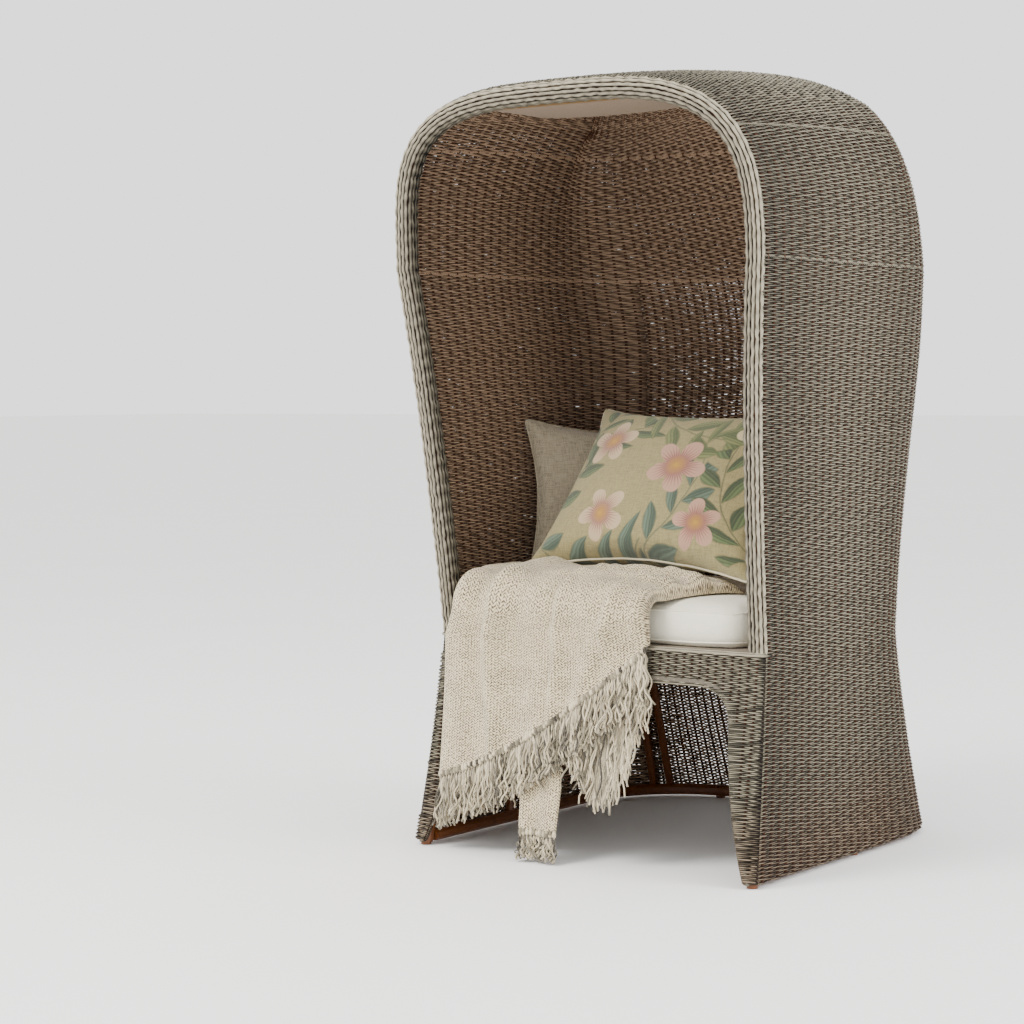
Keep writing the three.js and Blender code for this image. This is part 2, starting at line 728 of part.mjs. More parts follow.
// Height of the seat cushion's top face over the floor at a place of its unit square.
function cushionTop(reach) {
  const drop = CUSHION.edgeDrop * Math.pow(reach, CUSHION_POWERS.edge);
  return CUSHION.thickness + CUSHION.crown * (1 - reach * reach) - drop;
}

function seatCushion() {
  const halfDepth = (CUSHION.backY - CUSHION.frontY) / 2;
  const middleY = (CUSHION.backY + CUSHION.frontY) / 2;
  return unitBoxMapped(CUSHION_STEPS, CUSHION_LAYERS, (a, b, c) => {
    const plan = roundedPlan(a, b, b > 0 ? CUSHION_POWERS.back : CUSHION_POWERS.front);
    const reach = Math.max(Math.abs(a), Math.abs(b));
    const rounding = CUSHION.edgeRound * Math.pow(c, CUSHION_POWERS.round) * reach;
    const drawX = CUSHION.drawIn * (1 - b * b);
    const drawY = CUSHION.drawIn * (1 - a * a);
    const under = SEAT_TOP_Z + SEAT_GAP;
    const top = under + cushionTop(reach);
    return {
      x: plan.a * (CUSHION.halfWidth - rounding - drawX),
      y: middleY + plan.b * (halfDepth - rounding - drawY),
      z: mix(under, top, (c + 1) / 2),
    };
  });
}

// Height of the cushion's top at a place in plan.
function cushionHeightAt(x, y) {
  const halfDepth = (CUSHION.backY - CUSHION.frontY) / 2;
  const middleY = (CUSHION.backY + CUSHION.frontY) / 2;
  const taken = CUSHION.drawIn + CUSHION.edgeRound;
  const across = Math.abs(x) / (CUSHION.halfWidth - taken);
  const along = Math.abs(y - middleY) / (halfDepth - taken);
  return SEAT_TOP_Z + SEAT_GAP + cushionTop(Math.min(1, Math.max(across, along)));
}

// A scatter cushion: full in the middle, thin at its seams, with its sides drawn in between corners,
// let down until it rests on the seat cushion or on the throw.
function scatterCushion(size) {
  const pillow = unitBoxMapped(PILLOW_STEPS, 1, (a, b, c) => {
    const flat = (1 - Math.pow(a, PILLOW_POWERS.flat)) * (1 - Math.pow(b, PILLOW_POWERS.flat));
    const swell = Math.pow(flat, PILLOW_POWERS.swell);
    const round = Math.pow(Math.max(0, (1 - a * a) * (1 - b * b)), PILLOW_POWERS.seam);
    return {
      x: a * (size.width / 2 - size.drawIn * (1 - b * b)),
      y: b * (size.height / 2 - size.drawIn * (1 - a * a)),
      z: (c * (size.edge + (size.thickness - size.edge) * swell * round)) / 2,
    };
  });
  pillow.rotateZ(radians(size.roll));
  pillow.rotateX(radians(size.tilt));
  pillow.rotateZ(radians(size.yaw));
  pillow.translate(size.x, size.y, 0);
  const position = pillow.getAttribute("position");
  let room = Infinity;
  for (let v = 0; v < position.count; v++) {
    const below = restHeightAt(position.getX(v), position.getY(v));
    room = Math.min(room, position.getZ(v) - below);
  }
  pillow.translate(0, 0, SEAT_GAP - room - size.settle);
  return pillow;
}

// The throw's folds, as a share of their full height at a place across it.
function foldShare(across) {
  return (1 + Math.sin(2 * Math.PI * THROW.folds * across + 2 * Math.sin(Math.PI * across))) / 2;
}

const cushionEdgeZ = SEAT_TOP_Z + SEAT_GAP + CUSHION.thickness - CUSHION.edgeDrop;
const throwBendZ = cushionEdgeZ + THROW.clearance - THROW.bend;
const throwBendY = frontYAt(throwBendZ) - THROW.frontOffset + THROW.bend;

// Right edge of the throw on the seat, which runs out to a bunch under the scatter cushion.
function throwRightX(y) {
  const share = clampUnit((y - throwBendY) / (THROW.rearY - throwBendY));
  return mix(THROW.rightX, THROW.rearRightX, share);
}

// How far the throw's top stands over what it lies on.
function throwBulk(across) {
  return mix(THROW.leftBulk, THROW.rightBulk, across) + THROW.foldHeight * foldShare(across);
}

// Height at which a scatter cushion would rest at a place in plan.
function restHeightAt(x, y) {
  const across = (x - THROW.leftTopX) / (throwRightX(y) - THROW.leftTopX);
  const covered = y < THROW.rearY && across > 0 && across < 1;
  return cushionHeightAt(x, y) + (covered ? THROW.clearance + throwBulk(across) : 0);
}

function throwDrop(across) {
  const share = easedShare(across, HEM_SLOPE_SHARES.left, HEM_SLOPE_SHARES.right);
  return mix(THROW.leftDrop, THROW.rightDrop, share);
}

// A place on the throw. It lies folded on the seat cushion, bends over its front edge and hangs in
// front of the apron, thinner towards its slanting hem.
function throwPlace(across, row, outer) {
  const fold = THROW.foldHeight * foldShare(across);
  const full = outer ? throwBulk(across) : 0;
  if (row.y !== undefined) {
    const x = mix(THROW.leftTopX, throwRightX(row.y), across);
    return { x, y: row.y, z: cushionHeightAt(x, row.y) + THROW.clearance + full };
  }
  if (row.turn !== undefined) {
    const turn = radians(row.turn);
    const x = mix(THROW.leftTopX, THROW.rightX, across);
    const reach = THROW.bend + full;
    return { x, y: throwBendY - reach * Math.sin(turn), z: throwBendZ + reach * Math.cos(turn) };
  }
  const leftX = mix(THROW.leftTopX, THROW.leftHangX, clampUnit(row.drop / HANG_SPREAD_SHARE));
  const x = mix(leftX, THROW.rightX, across);
  const z = throwBendZ - row.drop * throwDrop(across);
  const thick = mix(throwBulk(across), THROW.hemThickness, row.drop);
  return { x, y: frontYAt(z) - THROW.frontOffset - fold * row.drop - (outer ? thick : 0), z };
}

function throwBody() {
  const rows = [
    ...spread(1, 0, THROW_HANG_ROWS).map((drop) => ({ drop })),
    ...spread(QUARTER_TURN, 0, THROW_BEND_ROWS).slice(1, -1).map((turn) => ({ turn })),
    ...spread(throwBendY, THROW.rearY, THROW_SEAT_ROWS).map((y) => ({ y })),
  ];
  const body = sheet(spread(0, 1, THROW_ACROSS), rows, throwPlace);
  return geometryOf(solid(body).add(solid(throwTail())));
}

// The corner of the throw that hangs down to the floor from behind the hem.
function throwTail() {
  const rows = spread(1, 0, TAIL_ROWS);
  return sheet(spread(-1, 1, TAIL_ACROSS), rows, (a, down, outer) => {
    const z = mix(THROW_TAIL.topZ, THROW_TAIL.footZ, down);
    const half = mix(THROW_TAIL.width, THROW_TAIL.endWidth, down) / 2;
    const tuck = THROW.foldHeight * clampUnit(2 - down / THROW_TAIL.tuckShare);
    const swing = THROW_TAIL.swing * clampUnit((down - THROW_TAIL.hangShare) / (1 - THROW_TAIL.hangShare));
    const face = frontYAt(z) - THROW_TAIL.room - tuck - swing;
    return {
      x: mix(THROW_TAIL.topX, THROW_TAIL.footX, down) + a * half,
      y: face + (outer ? 0 : THROW_TAIL.thickness),
      z,
    };
  });
}

// The knotted fringe, as the pleated curtain that its strands fill under the hem.
function throwFringe() {
  return sheet(spread(0, 1, FRINGE_PLEATS), spread(1, 0, FRINGE_ROWS), (a, down, outer) => {
    const inner = throwPlace(a, { drop: 1 }, false);
    const hem = throwPlace(a, { drop: 1 }, true);
    const near = (a - FRINGE.middleShare) / FRINGE.extraShare;
    const pleat = Math.round(a * FRINGE_PLEATS) % 2 ? FRINGE.pleat : -FRINGE.pleat;
    const length = FRINGE.length + FRINGE.extra * Math.exp(-near * near) + pleat * FRINGE.thickness * down;
    const drop = FRINGE.gap + down * length;
    const middle = (inner.y + hem.y) / 2 + frontYAt(hem.z - drop) - frontYAt(hem.z);
    const half = FRINGE.thickness / 2;
    return { x: hem.x, y: middle + pleat * down * (1 - down / 2) + (outer ? -half : half), z: hem.z - drop };
  });
}

const chair = new THREE.Group();

function add(name, geometry, look) {
  const mesh = new THREE.Mesh(geometry, look);
  mesh.name = name;
  chair.add(mesh);
}

function addShell() {
  add("side_weave_right", weavePanel(sideColumns, wallLevels), wickerMaterial());
  add("side_weave_left", weavePanel(leftColumns, wallLevels), wickerMaterial());
  add("back_weave", weavePanel(backColumns, wallLevels), wickerMaterial());
  add("shoulder_weave", shoulderBand(), wickerMaterial());
  add("roof_weave", roofPanel(), wickerMaterial());
  add("apron_weave", frontApron(), wickerMaterial());
  add("rim_border", rimBorder(), borderMaterial());
}

function addFrame() {
  add("front_hoop", frontHoop(), poleMaterial());
  add("base_rail", uRail(BASE_RAIL_Z, FLOOR_RAIL_INSET), poleMaterial());
  add("seat_rail", uRail(SEAT_RAIL_Z, RAIL_INSET), poleMaterial());
  add("seat_front_rail", seatFrontRail(), poleMaterial());
  add("shoulder_ring", wovenRing({ z: SHOULDER_Z }), poleMaterial());
  add("crown_ring", wovenRing({ angle: archAngle(crownRingZ) }), poleMaterial());
  add("arch_cane", archCane(), caneMaterial());
  [-1, 1].forEach((side) => {
    const name = side < 0 ? "left" : "right";
    const fore = CORNER_SEAM_SHARE + CORNER_POST_SHARE;
    const aft = CORNER_SEAM_SHARE - CORNER_POST_SHARE;
    add("side_post_" + name, wallPost(side * SIDE_POST_SHARE), poleMaterial());
    add("corner_post_fore_" + name, wallPost(side * fore), poleMaterial());
    add("corner_post_aft_" + name, wallPost(side * aft), poleMaterial());
  });
  spread(-1, 1, BEARER_COUNT - 1).forEach((place, i) => {
    add("seat_bearer_" + (i + 1), seatBearer(place * BEARER_SPACING), poleMaterial());
  });
  add("seat_deck", seatDeck(), wickerMaterial());
}

function addGlides() {
  const rail = (u) => shellPoint(u, { z: BASE_RAIL_Z }, FLOOR_RAIL_INSET);
  const foot = frontOutline(HOOP_INSET)[0];
  [-1, 1].forEach((side) => {
    const name = side < 0 ? "left" : "right";
    add("glide_front_" + name, glide({ x: side * foot.x, y: foot.y }), glideMaterial());
    add("glide_side_" + name, glide(rail(side * SIDE_GLIDE_SHARE)), glideMaterial());
    add("glide_back_" + name, glide(rail(side * BACK_GLIDE_SHARE)), glideMaterial());
  });
}

function addSoftPieces() {
  add("hood_lining", hoodLining(), canvasMaterial());
  add("seat_cushion", seatCushion(), cushionMaterial());
  add("scatter_cushion_print", scatterCushion(PRINT_PILLOW), printMaterial());
  add("scatter_cushion_plain", scatterCushion(PLAIN_PILLOW), linenMaterial());
  add("throw", throwBody(), knitMaterial());
  add("throw_fringe", throwFringe(), knitMaterial());
}

addShell();
addFrame();
addGlides();
addSoftPieces();

// The origin is under the middle of the chair's box, on the floor.
const box = new THREE.Box3().setFromObject(chair, true);
const middle = box.getCenter(new THREE.Vector3());
chair.position.set(-middle.x, -middle.y, 0);

const group = new THREE.Group();
group.add(chair);

export default group;
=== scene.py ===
"""Hooded wicker beach chair: a woven shell with a domed hood on a rattan frame, with its seat
cushion, two scatter cushions and a fringed throw."""

import math
import bmesh
import bpy
import numpy as np
from mathutils import Matrix, Vector


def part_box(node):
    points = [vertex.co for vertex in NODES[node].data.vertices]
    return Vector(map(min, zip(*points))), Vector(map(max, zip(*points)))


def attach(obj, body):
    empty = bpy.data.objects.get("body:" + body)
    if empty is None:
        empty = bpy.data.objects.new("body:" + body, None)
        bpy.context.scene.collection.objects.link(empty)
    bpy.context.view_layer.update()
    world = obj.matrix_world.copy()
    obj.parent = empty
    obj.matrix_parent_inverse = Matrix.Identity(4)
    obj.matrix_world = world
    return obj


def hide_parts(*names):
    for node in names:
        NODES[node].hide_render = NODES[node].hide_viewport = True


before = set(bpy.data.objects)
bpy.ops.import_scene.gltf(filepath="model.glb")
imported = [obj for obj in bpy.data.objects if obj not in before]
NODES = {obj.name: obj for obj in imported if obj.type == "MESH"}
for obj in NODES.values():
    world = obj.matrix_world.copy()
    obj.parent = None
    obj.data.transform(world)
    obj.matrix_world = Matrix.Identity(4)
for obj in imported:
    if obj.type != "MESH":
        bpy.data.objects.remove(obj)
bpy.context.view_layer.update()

bl_info = {
    "name": "Hooded Wicker Beach Chair",
    "version": (1, 0, 0),
    "blender": (4, 5, 0),
    "location": "View3D > Sidebar > Beach Chair",
    "description": "Weaves and upholsters a hooded wicker beach chair round its frame",
    "category": "Object",
}

# The shell's form in metres. Y counts from the front of the waist before the shift into the frame.
FLOOR_HALF_WIDTH = 0.388
WAIST_HALF_WIDTH = 0.366
SHOULDER_HALF_WIDTH = 0.410
WAIST_Z = 0.410
ARCH_TOP_Z = 1.438
BULGE_Z = 0.6634 * ARCH_TOP_Z
SHOULDER_Z = 0.7712 * ARCH_TOP_Z
CROWN_RING_Z = SHOULDER_Z + 0.693 * (ARCH_TOP_Z - SHOULDER_Z)
ROOF_RISE = 0.056
ROOF_PEAK_Y = 0.560
FOOT_FRONT_Y = -0.067
BROW_FRONT_Y = -0.083
TOP_FRONT_Y = -0.128
SIDE_RUN_Y = 0.459
FLOOR_BACK_Y = 0.781
WAIST_BACK_Y = 0.616
BULGE_BACK_Y = 0.720
RIDGE_END_Y = 0.298
PLAN_POWER = 2.66
ARCH_POWER = 3.28
BACK_POWER = 1.845
FLARE_POWER = 1.2
WIDTH_SLOPES = (0.504, 1.827)
BACK_SLOPES = (0.06, 0.427)
WALL = 0.009
GAP = 0.0004

# The border round the open front, the front of the rows and the deck, and the gap to the floor.
HOOP_INSET = 0.0209
RIM_SIZE = 2 * HOOP_INSET
BORDER_RADIUS = 0.0038
BORDER_CORNER = 0.011
BORDER_CORE_RADIUS = 0.0132
CORNER_RADIUS = 0.014
ROW_FRONT = 0.0105
DECK_FRONT_Y = 0.010
FLOOR_GAP = 0.007

# The walls, the hood and its rings. A level is a height, or SHOULDER_Z and the arch's angle.
WALL_LEVELS = (FLOOR_GAP + 0.002, SHOULDER_Z - 0.001)
ROOF_LEVEL = SHOULDER_Z + math.pi / 2
STAKE_LEVEL = 0.75
RIDGE_RADIUS = 0.0034
RING_RADIUS = 0.0045
RING_STEP = 0.0045
RING_TWIST = 0.9
RING_TWIST_RADIUS = 0.0019
RING_STRAND_RADIUS = 0.0017
ROW_UNDER_RING = 0.0035
PANEL_CORNER_U = 1.05

# The apron under the seat and its arched opening, whose outline climbs for APRON_CLIMB points.
APRON_TOP_Z = WAIST_Z - 0.004
APRON_STAKE_RADIUS = 0.0025
APRON_CLIMB = 62
APRON_STAKES = 48
TRIM_RADIUS = 0.0021
TRIM_INSET = 0.0022
TRIM_DEPTHS = (0.0012, -0.0028)
LEDGE_RADIUS = 0.0026
LEDGE_PLACES = ((0.0, 0.003), (0.0, -0.003), (0.003, 0.0))
LEDGE_WAVE = 0.053
ARCH_UNDERSIDE_Z = 0.348
LEG_WIDTH = 0.068
LEG_SPRING_Z = 0.265
LEG_FOOT_WIDTH = 0.024
LEG_WAIST_IN = 0.36
LEG_WAIST_UP = 0.45
ARCH_CORNER = 0.082
# How a row turns round the opening's edge: places along it and out from the apron's middle.
WRAP_PLACES = np.array([0.0035, -0.0012, -0.002, 0.0015])
WRAP_DEPTHS = np.array([-0.0055, -0.0028, 0.002, 0.0052])

# Outward is away from the cabin's middle, or from a leaning line up the cabin.
CABIN_MIDDLE = np.array([0, 0.10, 0.80])
CABIN_AXIS_SHARE = np.array([0, 0, 0.72])
CABIN_AXIS_FOOT = np.array([0, -0.02, 0.14])
# Unevenness: spread of a strand's thickness and waver of a row in metres. A strand is thinner
# between the stakes, follows the room between the rows within limits, and is thinner in the
# back's middle, below and above the seat.
STRAND_SPREAD = 0.07
ROW_WAVER = 0.00035
BETWEEN_STAKES = 0.85
ROOM_LIMITS = (0.6, 2.4)
BACK_OPENNESS = (0.32, 0.16)
# Places on one spot are merged, so a mesh may have this many points less than its runs.
MERGED_POINTS = 20

# The seat cushion and the lining. A plan's power is higher where its corners are squarer.
SEAT_Z = 0.4104
CUSHION_HALF_WIDTH = 0.314
CUSHION_HALF_DEPTH = 0.290
CUSHION_MIDDLE_Y = 0.300
CUSHION_THICKNESS = 0.084
CUSHION_CROWN = 0.009
CUSHION_FALL = 0.007
CUSHION_ROUNDING = 0.018
CUSHION_DRAW = 0.005
FRONT_PLAN = 9
BACK_PLAN = 3.2
CLOTH_FRAMES = 20
SEAM_RADIUS = 0.0018
LINING_HALF_WIDTH = 0.176
LINING_DEPTH = 0.168

# The throw. SEAT_RUN and BEND_RUN are shares of its run from its rear edge to its hem.
THROW_CLEARANCE = 0.0009
THROW_BEND = 0.024
THROW_LEFT_X = -0.300
THROW_HANG_X = -0.326
THROW_RIGHT_X = 0.130
THROW_REAR_RIGHT_X = 0.232
THROW_REAR_Y = 0.150
THROW_FOLDS = 4
THROW_BEND_Z = SEAT_Z + CUSHION_THICKNESS - CUSHION_FALL + THROW_CLEARANCE - THROW_BEND
SEAT_RUN = 0.34
BEND_RUN = 0.47
KNIT_COLUMN = 0.0062
KNIT_ROW = 0.0052
KNIT_THICKNESS = 0.005
FRINGE_PITCH = 0.0068
KNOT_SCALES = (0.5, 0.75, 1.0, 1.0, 0.45)
KNOT_RADIUS = 0.0042
KNOT_DROP = 0.013
YARN_RADIUS = 0.0018
# From left to right: how far the throw hangs below the bend and how thick its bunch lies.
THROW_DROPS = (0.318, 0.050)
THROW_BULKS = (0.036, 0.020)
# From top to foot of the tail: heights, middles and half widths.
TAIL_HEIGHTS = (0.334, 0.062)
TAIL_MIDDLES = (-0.122, -0.078)
TAIL_HALF_WIDTHS = (0.056, 0.040)
# Creases of the throw on the seat: place from the front, slant, height, width and where they start.
THROW_CREASES = (
    (0.000, 0.045, 0.012, 0.011, 0.30),
    (0.040, 0.050, 0.014, 0.012, 0.45),
    (-0.045, 0.035, 0.007, 0.010, 0.15),
)
# Folds of the hanging throw: place across, slant, depth and width.
THROW_FOLDS_HANGING = (
    (0.12, 0.02, 0.008, 0.060),
    (0.60, -0.10, 0.006, 0.060),
    (0.84, -0.14, 0.008, 0.055),
)
# Laps of the throw, each over the part on its left: place across, height and how soon it fades.
THROW_LAPS = (
    (0.25, 0.019, 0.13),
    (0.56, 0.018, 0.12),
    (0.83, 0.012, 0.08),
)

# The scatter cushions: sizes, how far the sides are drawn in between the corners, how far the
# filling may push the cover, place in plan and turns in degrees.
PLAIN_PILLOW = {
    "width": 0.385,
    "height": 0.315,
    "thickness": 0.090,
    "draw": 0.010,
    "cap": 0.012,
    "x": -0.244,
    "y": 0.436,
    "tilt": 80,
    "yaw": 58,
    "roll": -3,
}
PRINT_PILLOW = {
    "width": 0.492,
    "height": 0.384,
    "thickness": 0.135,
    "draw": 0.016,
    "cap": 0.014,
    "x": 0.029,
    "y": 0.230,
    "tilt": 50,
    "yaw": 0,
    "roll": -1.6,
}
PILLOW_SEAM = 0.011
PILLOW_PRESSURE = 2.2
PILLOW_SPARE = 0.05
PILLOW_PIPING_RADIUS = 0.0022
PILLOW_TURNS = (("yaw", "Z"), ("tilt", "X"), ("roll", "Z"))

# Sprays of the print: foot, heading, length and width, which is turned over where it is negative.
PRINT_SPRAYS = (
    (-0.23, -0.06, 0.85, 0.26, 0.26),
    (-0.09, 0.19, -0.45, 0.27, -0.27),
    (-0.01, -0.19, 1.05, 0.25, -0.25),
    (0.24, -0.16, 2.0, 0.25, 0.25),
    (0.06, 0.06, 0.45, 0.22, 0.22),
    (-0.22, -0.18, 0.1, 0.24, -0.24),
    (-0.20, 0.02, 1.3, 0.19, 0.19),
)
# Blossoms of the print: place, turn and radius.
PRINT_BLOSSOMS = (
    (-0.135, 0.075, 0.3, 0.058),
    (0.045, 0.015, 1.1, 0.066),
    (0.175, 0.125, 0.0, 0.048),
    (-0.085, -0.095, 0.8, 0.056),
    (0.130, -0.105, 0.5, 0.052),
)
LEAF_ANGLE = 0.75
LEAF_COLOURS = (("172a12", "5f7340"), ("33411a", "7d8049"), ("20362a", "617562"))
PETAL_COLOURS = ("b09777", "a57f69", "b3a47a")

# From the shell's own y to the frame's.
SHIFT_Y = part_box("seat_deck")[0][1] - DECK_FRONT_Y

# The photograph's viewpoint, and the studio.
CAMERA_PLACE = (2.5499, -3.7033 + SHIFT_Y, 0.8849)
CAMERA_AZIMUTH = math.radians(36.4885)
CAMERA_PITCH = math.radians(2.9416)
CAMERA_ROLL = math.radians(0.3339)
CAMERA_LENS = 85.243
LAMP_SIZE = 2.5
WORLD_STRENGTH = 1.9
FLOOR_HALF_SIZE = 60


def linear(hex_colour):
    """An sRGB colour such as b5ada0 as linear RGBA."""
    text = hex_colour.lstrip("#")
    values = [int(text[i : i + 2], 16) / 255 for i in (0, 2, 4)]
    return [c / 12.92 if c <= 0.04045 else ((c + 0.055) / 1.055) ** 2.4 for c in values] + [1.0]


def eased(t, start, end):
    """A smooth rise from 0 to 1 with the given slopes at its start and end."""
    t = np.clip(t, 0, 1)
    return (t**3 - 2 * t * t + t) * start + 3 * t * t - 2 * t**3 + (t**3 - t * t) * end


def mix(a, b, t):
    return a + (b - a) * t


def flare(z):
    """How far the skirt has spread, from 0 at the waist to 1 at the floor."""
    return np.clip(1 - z / WAIST_Z, 0, 1) ** FLARE_POWER


def half_width(z):
    up = eased((z - WAIST_Z) / (SHOULDER_Z - WAIST_Z), *WIDTH_SLOPES)
    low = mix(WAIST_HALF_WIDTH, FLOOR_HALF_WIDTH, flare(z))
    return np.where(z <= WAIST_Z, low, mix(WAIST_HALF_WIDTH, SHOULDER_HALF_WIDTH, up))


def back_below_bulge(z):
    up = eased((z - WAIST_Z) / (BULGE_Z - WAIST_Z), *BACK_SLOPES)
    low = mix(WAIST_BACK_Y, FLOOR_BACK_Y, flare(z))
    return np.where(z <= WAIST_Z, low, mix(WAIST_BACK_Y, BULGE_BACK_Y, up))


def front_y(z):
    """Y of the shell's front edge at a height, before the shift into the frame."""
    z = np.asarray(z, float)
    rise = np.clip((z - SHOULDER_Z) / (ARCH_TOP_Z - SHOULDER_Z), 0, 1)
    middle = BROW_FRONT_Y * (z - WAIST_Z) / (SHOULDER_Z - WAIST_Z)
    top = mix(BROW_FRONT_Y, TOP_FRONT_Y, rise * rise)
    return np.where(z <= WAIST_Z, FOOT_FRONT_Y * flare(z), np.where(z <= SHOULDER_Z, middle, top))


THROW_BEND_Y = float(front_y(THROW_BEND_Z)) - 0.004 + THROW_BEND


def dome_level(z):
    """The level of the shell's arch at a height above the shoulder."""
    rise = (z - SHOULDER_Z) / (ARCH_TOP_Z - SHOULDER_Z)
    return SHOULDER_Z + np.arcsin(rise ** (ARCH_POWER / 2))


def shell(u, level, inset=0.0, front_room=0.0):
    """Points of the shell for the places u on level lines. A level is a height up to the shoulder,
    and SHOULDER_Z + the arch's angle above it. The result is rows of points."""
    u = np.atleast_1d(np.asarray(u, float))[None, :]
    level = np.atleast_1d(np.asarray(level, float))[:, None]
    angle = np.clip(level - SHOULDER_Z, 0, math.pi / 2)
    domed = level > SHOULDER_Z
    rise = np.where(domed, np.sin(angle) ** (2 / ARCH_POWER), 0)
    top = ARCH_TOP_Z - inset
    z = np.where(domed, SHOULDER_Z + (top - SHOULDER_Z) * rise, level)
    dome_half = (SHOULDER_HALF_WIDTH - inset) * np.clip(np.cos(angle), 0, 1) ** (2 / ARCH_POWER)
    half = np.where(domed, dome_half, half_width(level) - inset)
    over = np.clip((z - BULGE_Z) / (top - BULGE_Z), 0, 1)
    rounded = (1 - over**BACK_POWER) ** (1 / BACK_POWER)
    back = np.where(
        z <= BULGE_Z, back_below_bulge(z) - inset, mix(RIDGE_END_Y, BULGE_BACK_Y - inset, rounded)
    )
    front = np.where(domed, front_y(mix(SHOULDER_Z, ARCH_TOP_Z, rise)), front_y(level))
    centre = np.minimum(SIDE_RUN_Y, back - CORNER_RADIUS)
    along = np.abs(u)
    turn = math.pi / 2 * (1 - np.minimum(along, 2) / 2)
    side = np.where(u < 0, -1.0, 1.0)
    sweep = np.clip(np.cos(turn), 0, 1) ** (2 / PLAN_POWER)
    x = side * half * np.where(along >= 2, 1, sweep)
    straight = mix(centre, front + front_room, along - 2)
    rounded_y = centre + (back - centre) * np.clip(np.sin(turn), 0, 1) ** (2 / PLAN_POWER)
    y = np.where(along >= 2, straight, rounded_y)
    from_peak = (y - ROOF_PEAK_Y) / (ROOF_PEAK_Y - front)
    z = z + ROOF_RISE * rise * rise * (1 - from_peak**2)
    return np.stack([x, y + SHIFT_Y, z + 0 * x], -1)


def shell_normals(u, level, front_room=0.0):
    """Outward unit normals of the shell at the same places."""
    step = 0.004
    along = shell(np.asarray(u) + step, level, WALL / 2, front_room)
    along = along - shell(np.asarray(u) - step, level, WALL / 2, front_room)
    level = np.asarray(level, float)
    upper = np.minimum(level + step, SHOULDER_Z + math.pi / 2 - 0.001)
    rise = shell(u, upper, WALL / 2, front_room) - shell(u, level - step, WALL / 2, front_room)
    normal = np.cross(along, rise)
    length = np.linalg.norm(normal, axis=-1, keepdims=True)
    normal = normal / np.maximum(length, 1e-12)
    points = shell(u, level, WALL / 2, front_room)
    inward = np.sum(normal * (points - CABIN_MIDDLE), -1, keepdims=True) < 0
    return np.where(inward, -normal, normal)

def add_piece(name, mesh):
    piece = bpy.data.objects.new(name, mesh)
    bpy.context.scene.collection.objects.link(piece)
    mesh.shade_smooth()
    return piece


def mesh_of(form, name):
    """Ends a bmesh and gives its mesh."""
    mesh = bpy.data.meshes.new(name)
    form.to_mesh(mesh)
    form.free()
    return mesh


def mesh_places(mesh):
    places = np.empty(len(mesh.vertices) * 3)
    mesh.vertices.foreach_get("co", places)
    return places.reshape(-1, 3)


def set_places(mesh, places):
    mesh.vertices.foreach_set("co", np.asarray(places).ravel())
    mesh.update()


def write_attribute(mesh, key, values, kind="FLOAT", field="value"):
    layer = mesh.attributes.new(key, kind, "POINT")
    layer.data.foreach_set(field, np.asarray(values, np.float32).ravel())


def write_cloth(piece, places):
    """Keeps where each vertex lies on its cloth, in metres."""
    write_attribute(piece.data, "cloth", places, "FLOAT_VECTOR", "vector")


def strands(name, runs, radius, sides=4, scales=None, closed=False, seed=1, depths=None):
    """A mesh object of round strands, each along one run of points. Every place keeps its strand's
    own tone, from 0 to 1, and its depth in the weave, from -1 at the cabin's side to 1 outside."""
    curve = bpy.data.curves.new(name, "CURVE")
    curve.dimensions = "3D"
    curve.bevel_depth = radius
    curve.bevel_resolution = (sides - 4) // 2
    curve.use_fill_caps = not closed
    for index, run in enumerate(runs):
        spline = curve.splines.new("POLY")
        spline.points.add(len(run) - 1)
        places = np.ones((len(run), 4), np.float32)
        places[:, :3] = run
        spline.points.foreach_set("co", places.ravel())
        if scales is not None:
            spline.points.foreach_set("radius", np.asarray(scales[index], np.float32))
        spline.use_cyclic_u = closed
    holder = bpy.data.objects.new(name, curve)
    bpy.context.scene.collection.objects.link(holder)
    bpy.context.view_layer.update()
    graph = bpy.context.evaluated_depsgraph_get()
    mesh = bpy.data.meshes.new_from_object(holder.evaluated_get(graph))
    bpy.data.objects.remove(holder)
    bpy.data.curves.remove(curve)
    mesh.name = name
    form = bmesh.new()
    form.from_mesh(mesh)
    bmesh.ops.remove_doubles(form, verts=form.verts, dist=1e-7)
    form.to_mesh(mesh)
    form.free()
    piece = add_piece(name, mesh)
    sizes = np.array([len(run) for run in runs]) * sides
    tones = np.repeat(np.random.default_rng(seed).random(len(runs)), sizes)
    if depths is None:
        depths = [np.zeros(len(run)) for run in runs]
    rings = np.repeat(np.concatenate(depths), sides)
    count = len(mesh.vertices)
    for key, values in (("tone", tones), ("depth", rings)):
        if abs(len(values) - count) > MERGED_POINTS:
            raise RuntimeError(f"{name}: {count} vertices, not {len(values)}")
        write_attribute(mesh, key, np.resize(values, count))
    return piece


def write_outside(piece, gain=3.0, bias=0.75, ahead=False, centres=None):
    """Writes how far each place faces out of the cabin, from 0 inside to 1 outside, and how
    squarely it faces away from the cabin, or from the given centres, round which all is outside."""
    mesh = piece.data
    places = mesh_places(mesh)
    normals = np.empty(places.size, np.float32)
    mesh.vertex_normals.foreach_get("vector", normals)
    normals = normals.reshape(-1, 3)
    if centres is None:
        away = places - (places * CABIN_AXIS_SHARE + CABIN_AXIS_FOOT)
        away = np.where(ahead, np.array([0, -1.0, 0]) + away * 0.3, away)
    else:
        away = places - np.resize(centres, places.shape)
    facing = np.sum(normals * away, 1) / np.linalg.norm(away, axis=1)
    outside = np.clip(facing * gain + bias, 0, 1) if centres is None else np.ones(len(places))
    write_attribute(mesh, "outside", outside)
    write_attribute(mesh, "facing", facing)


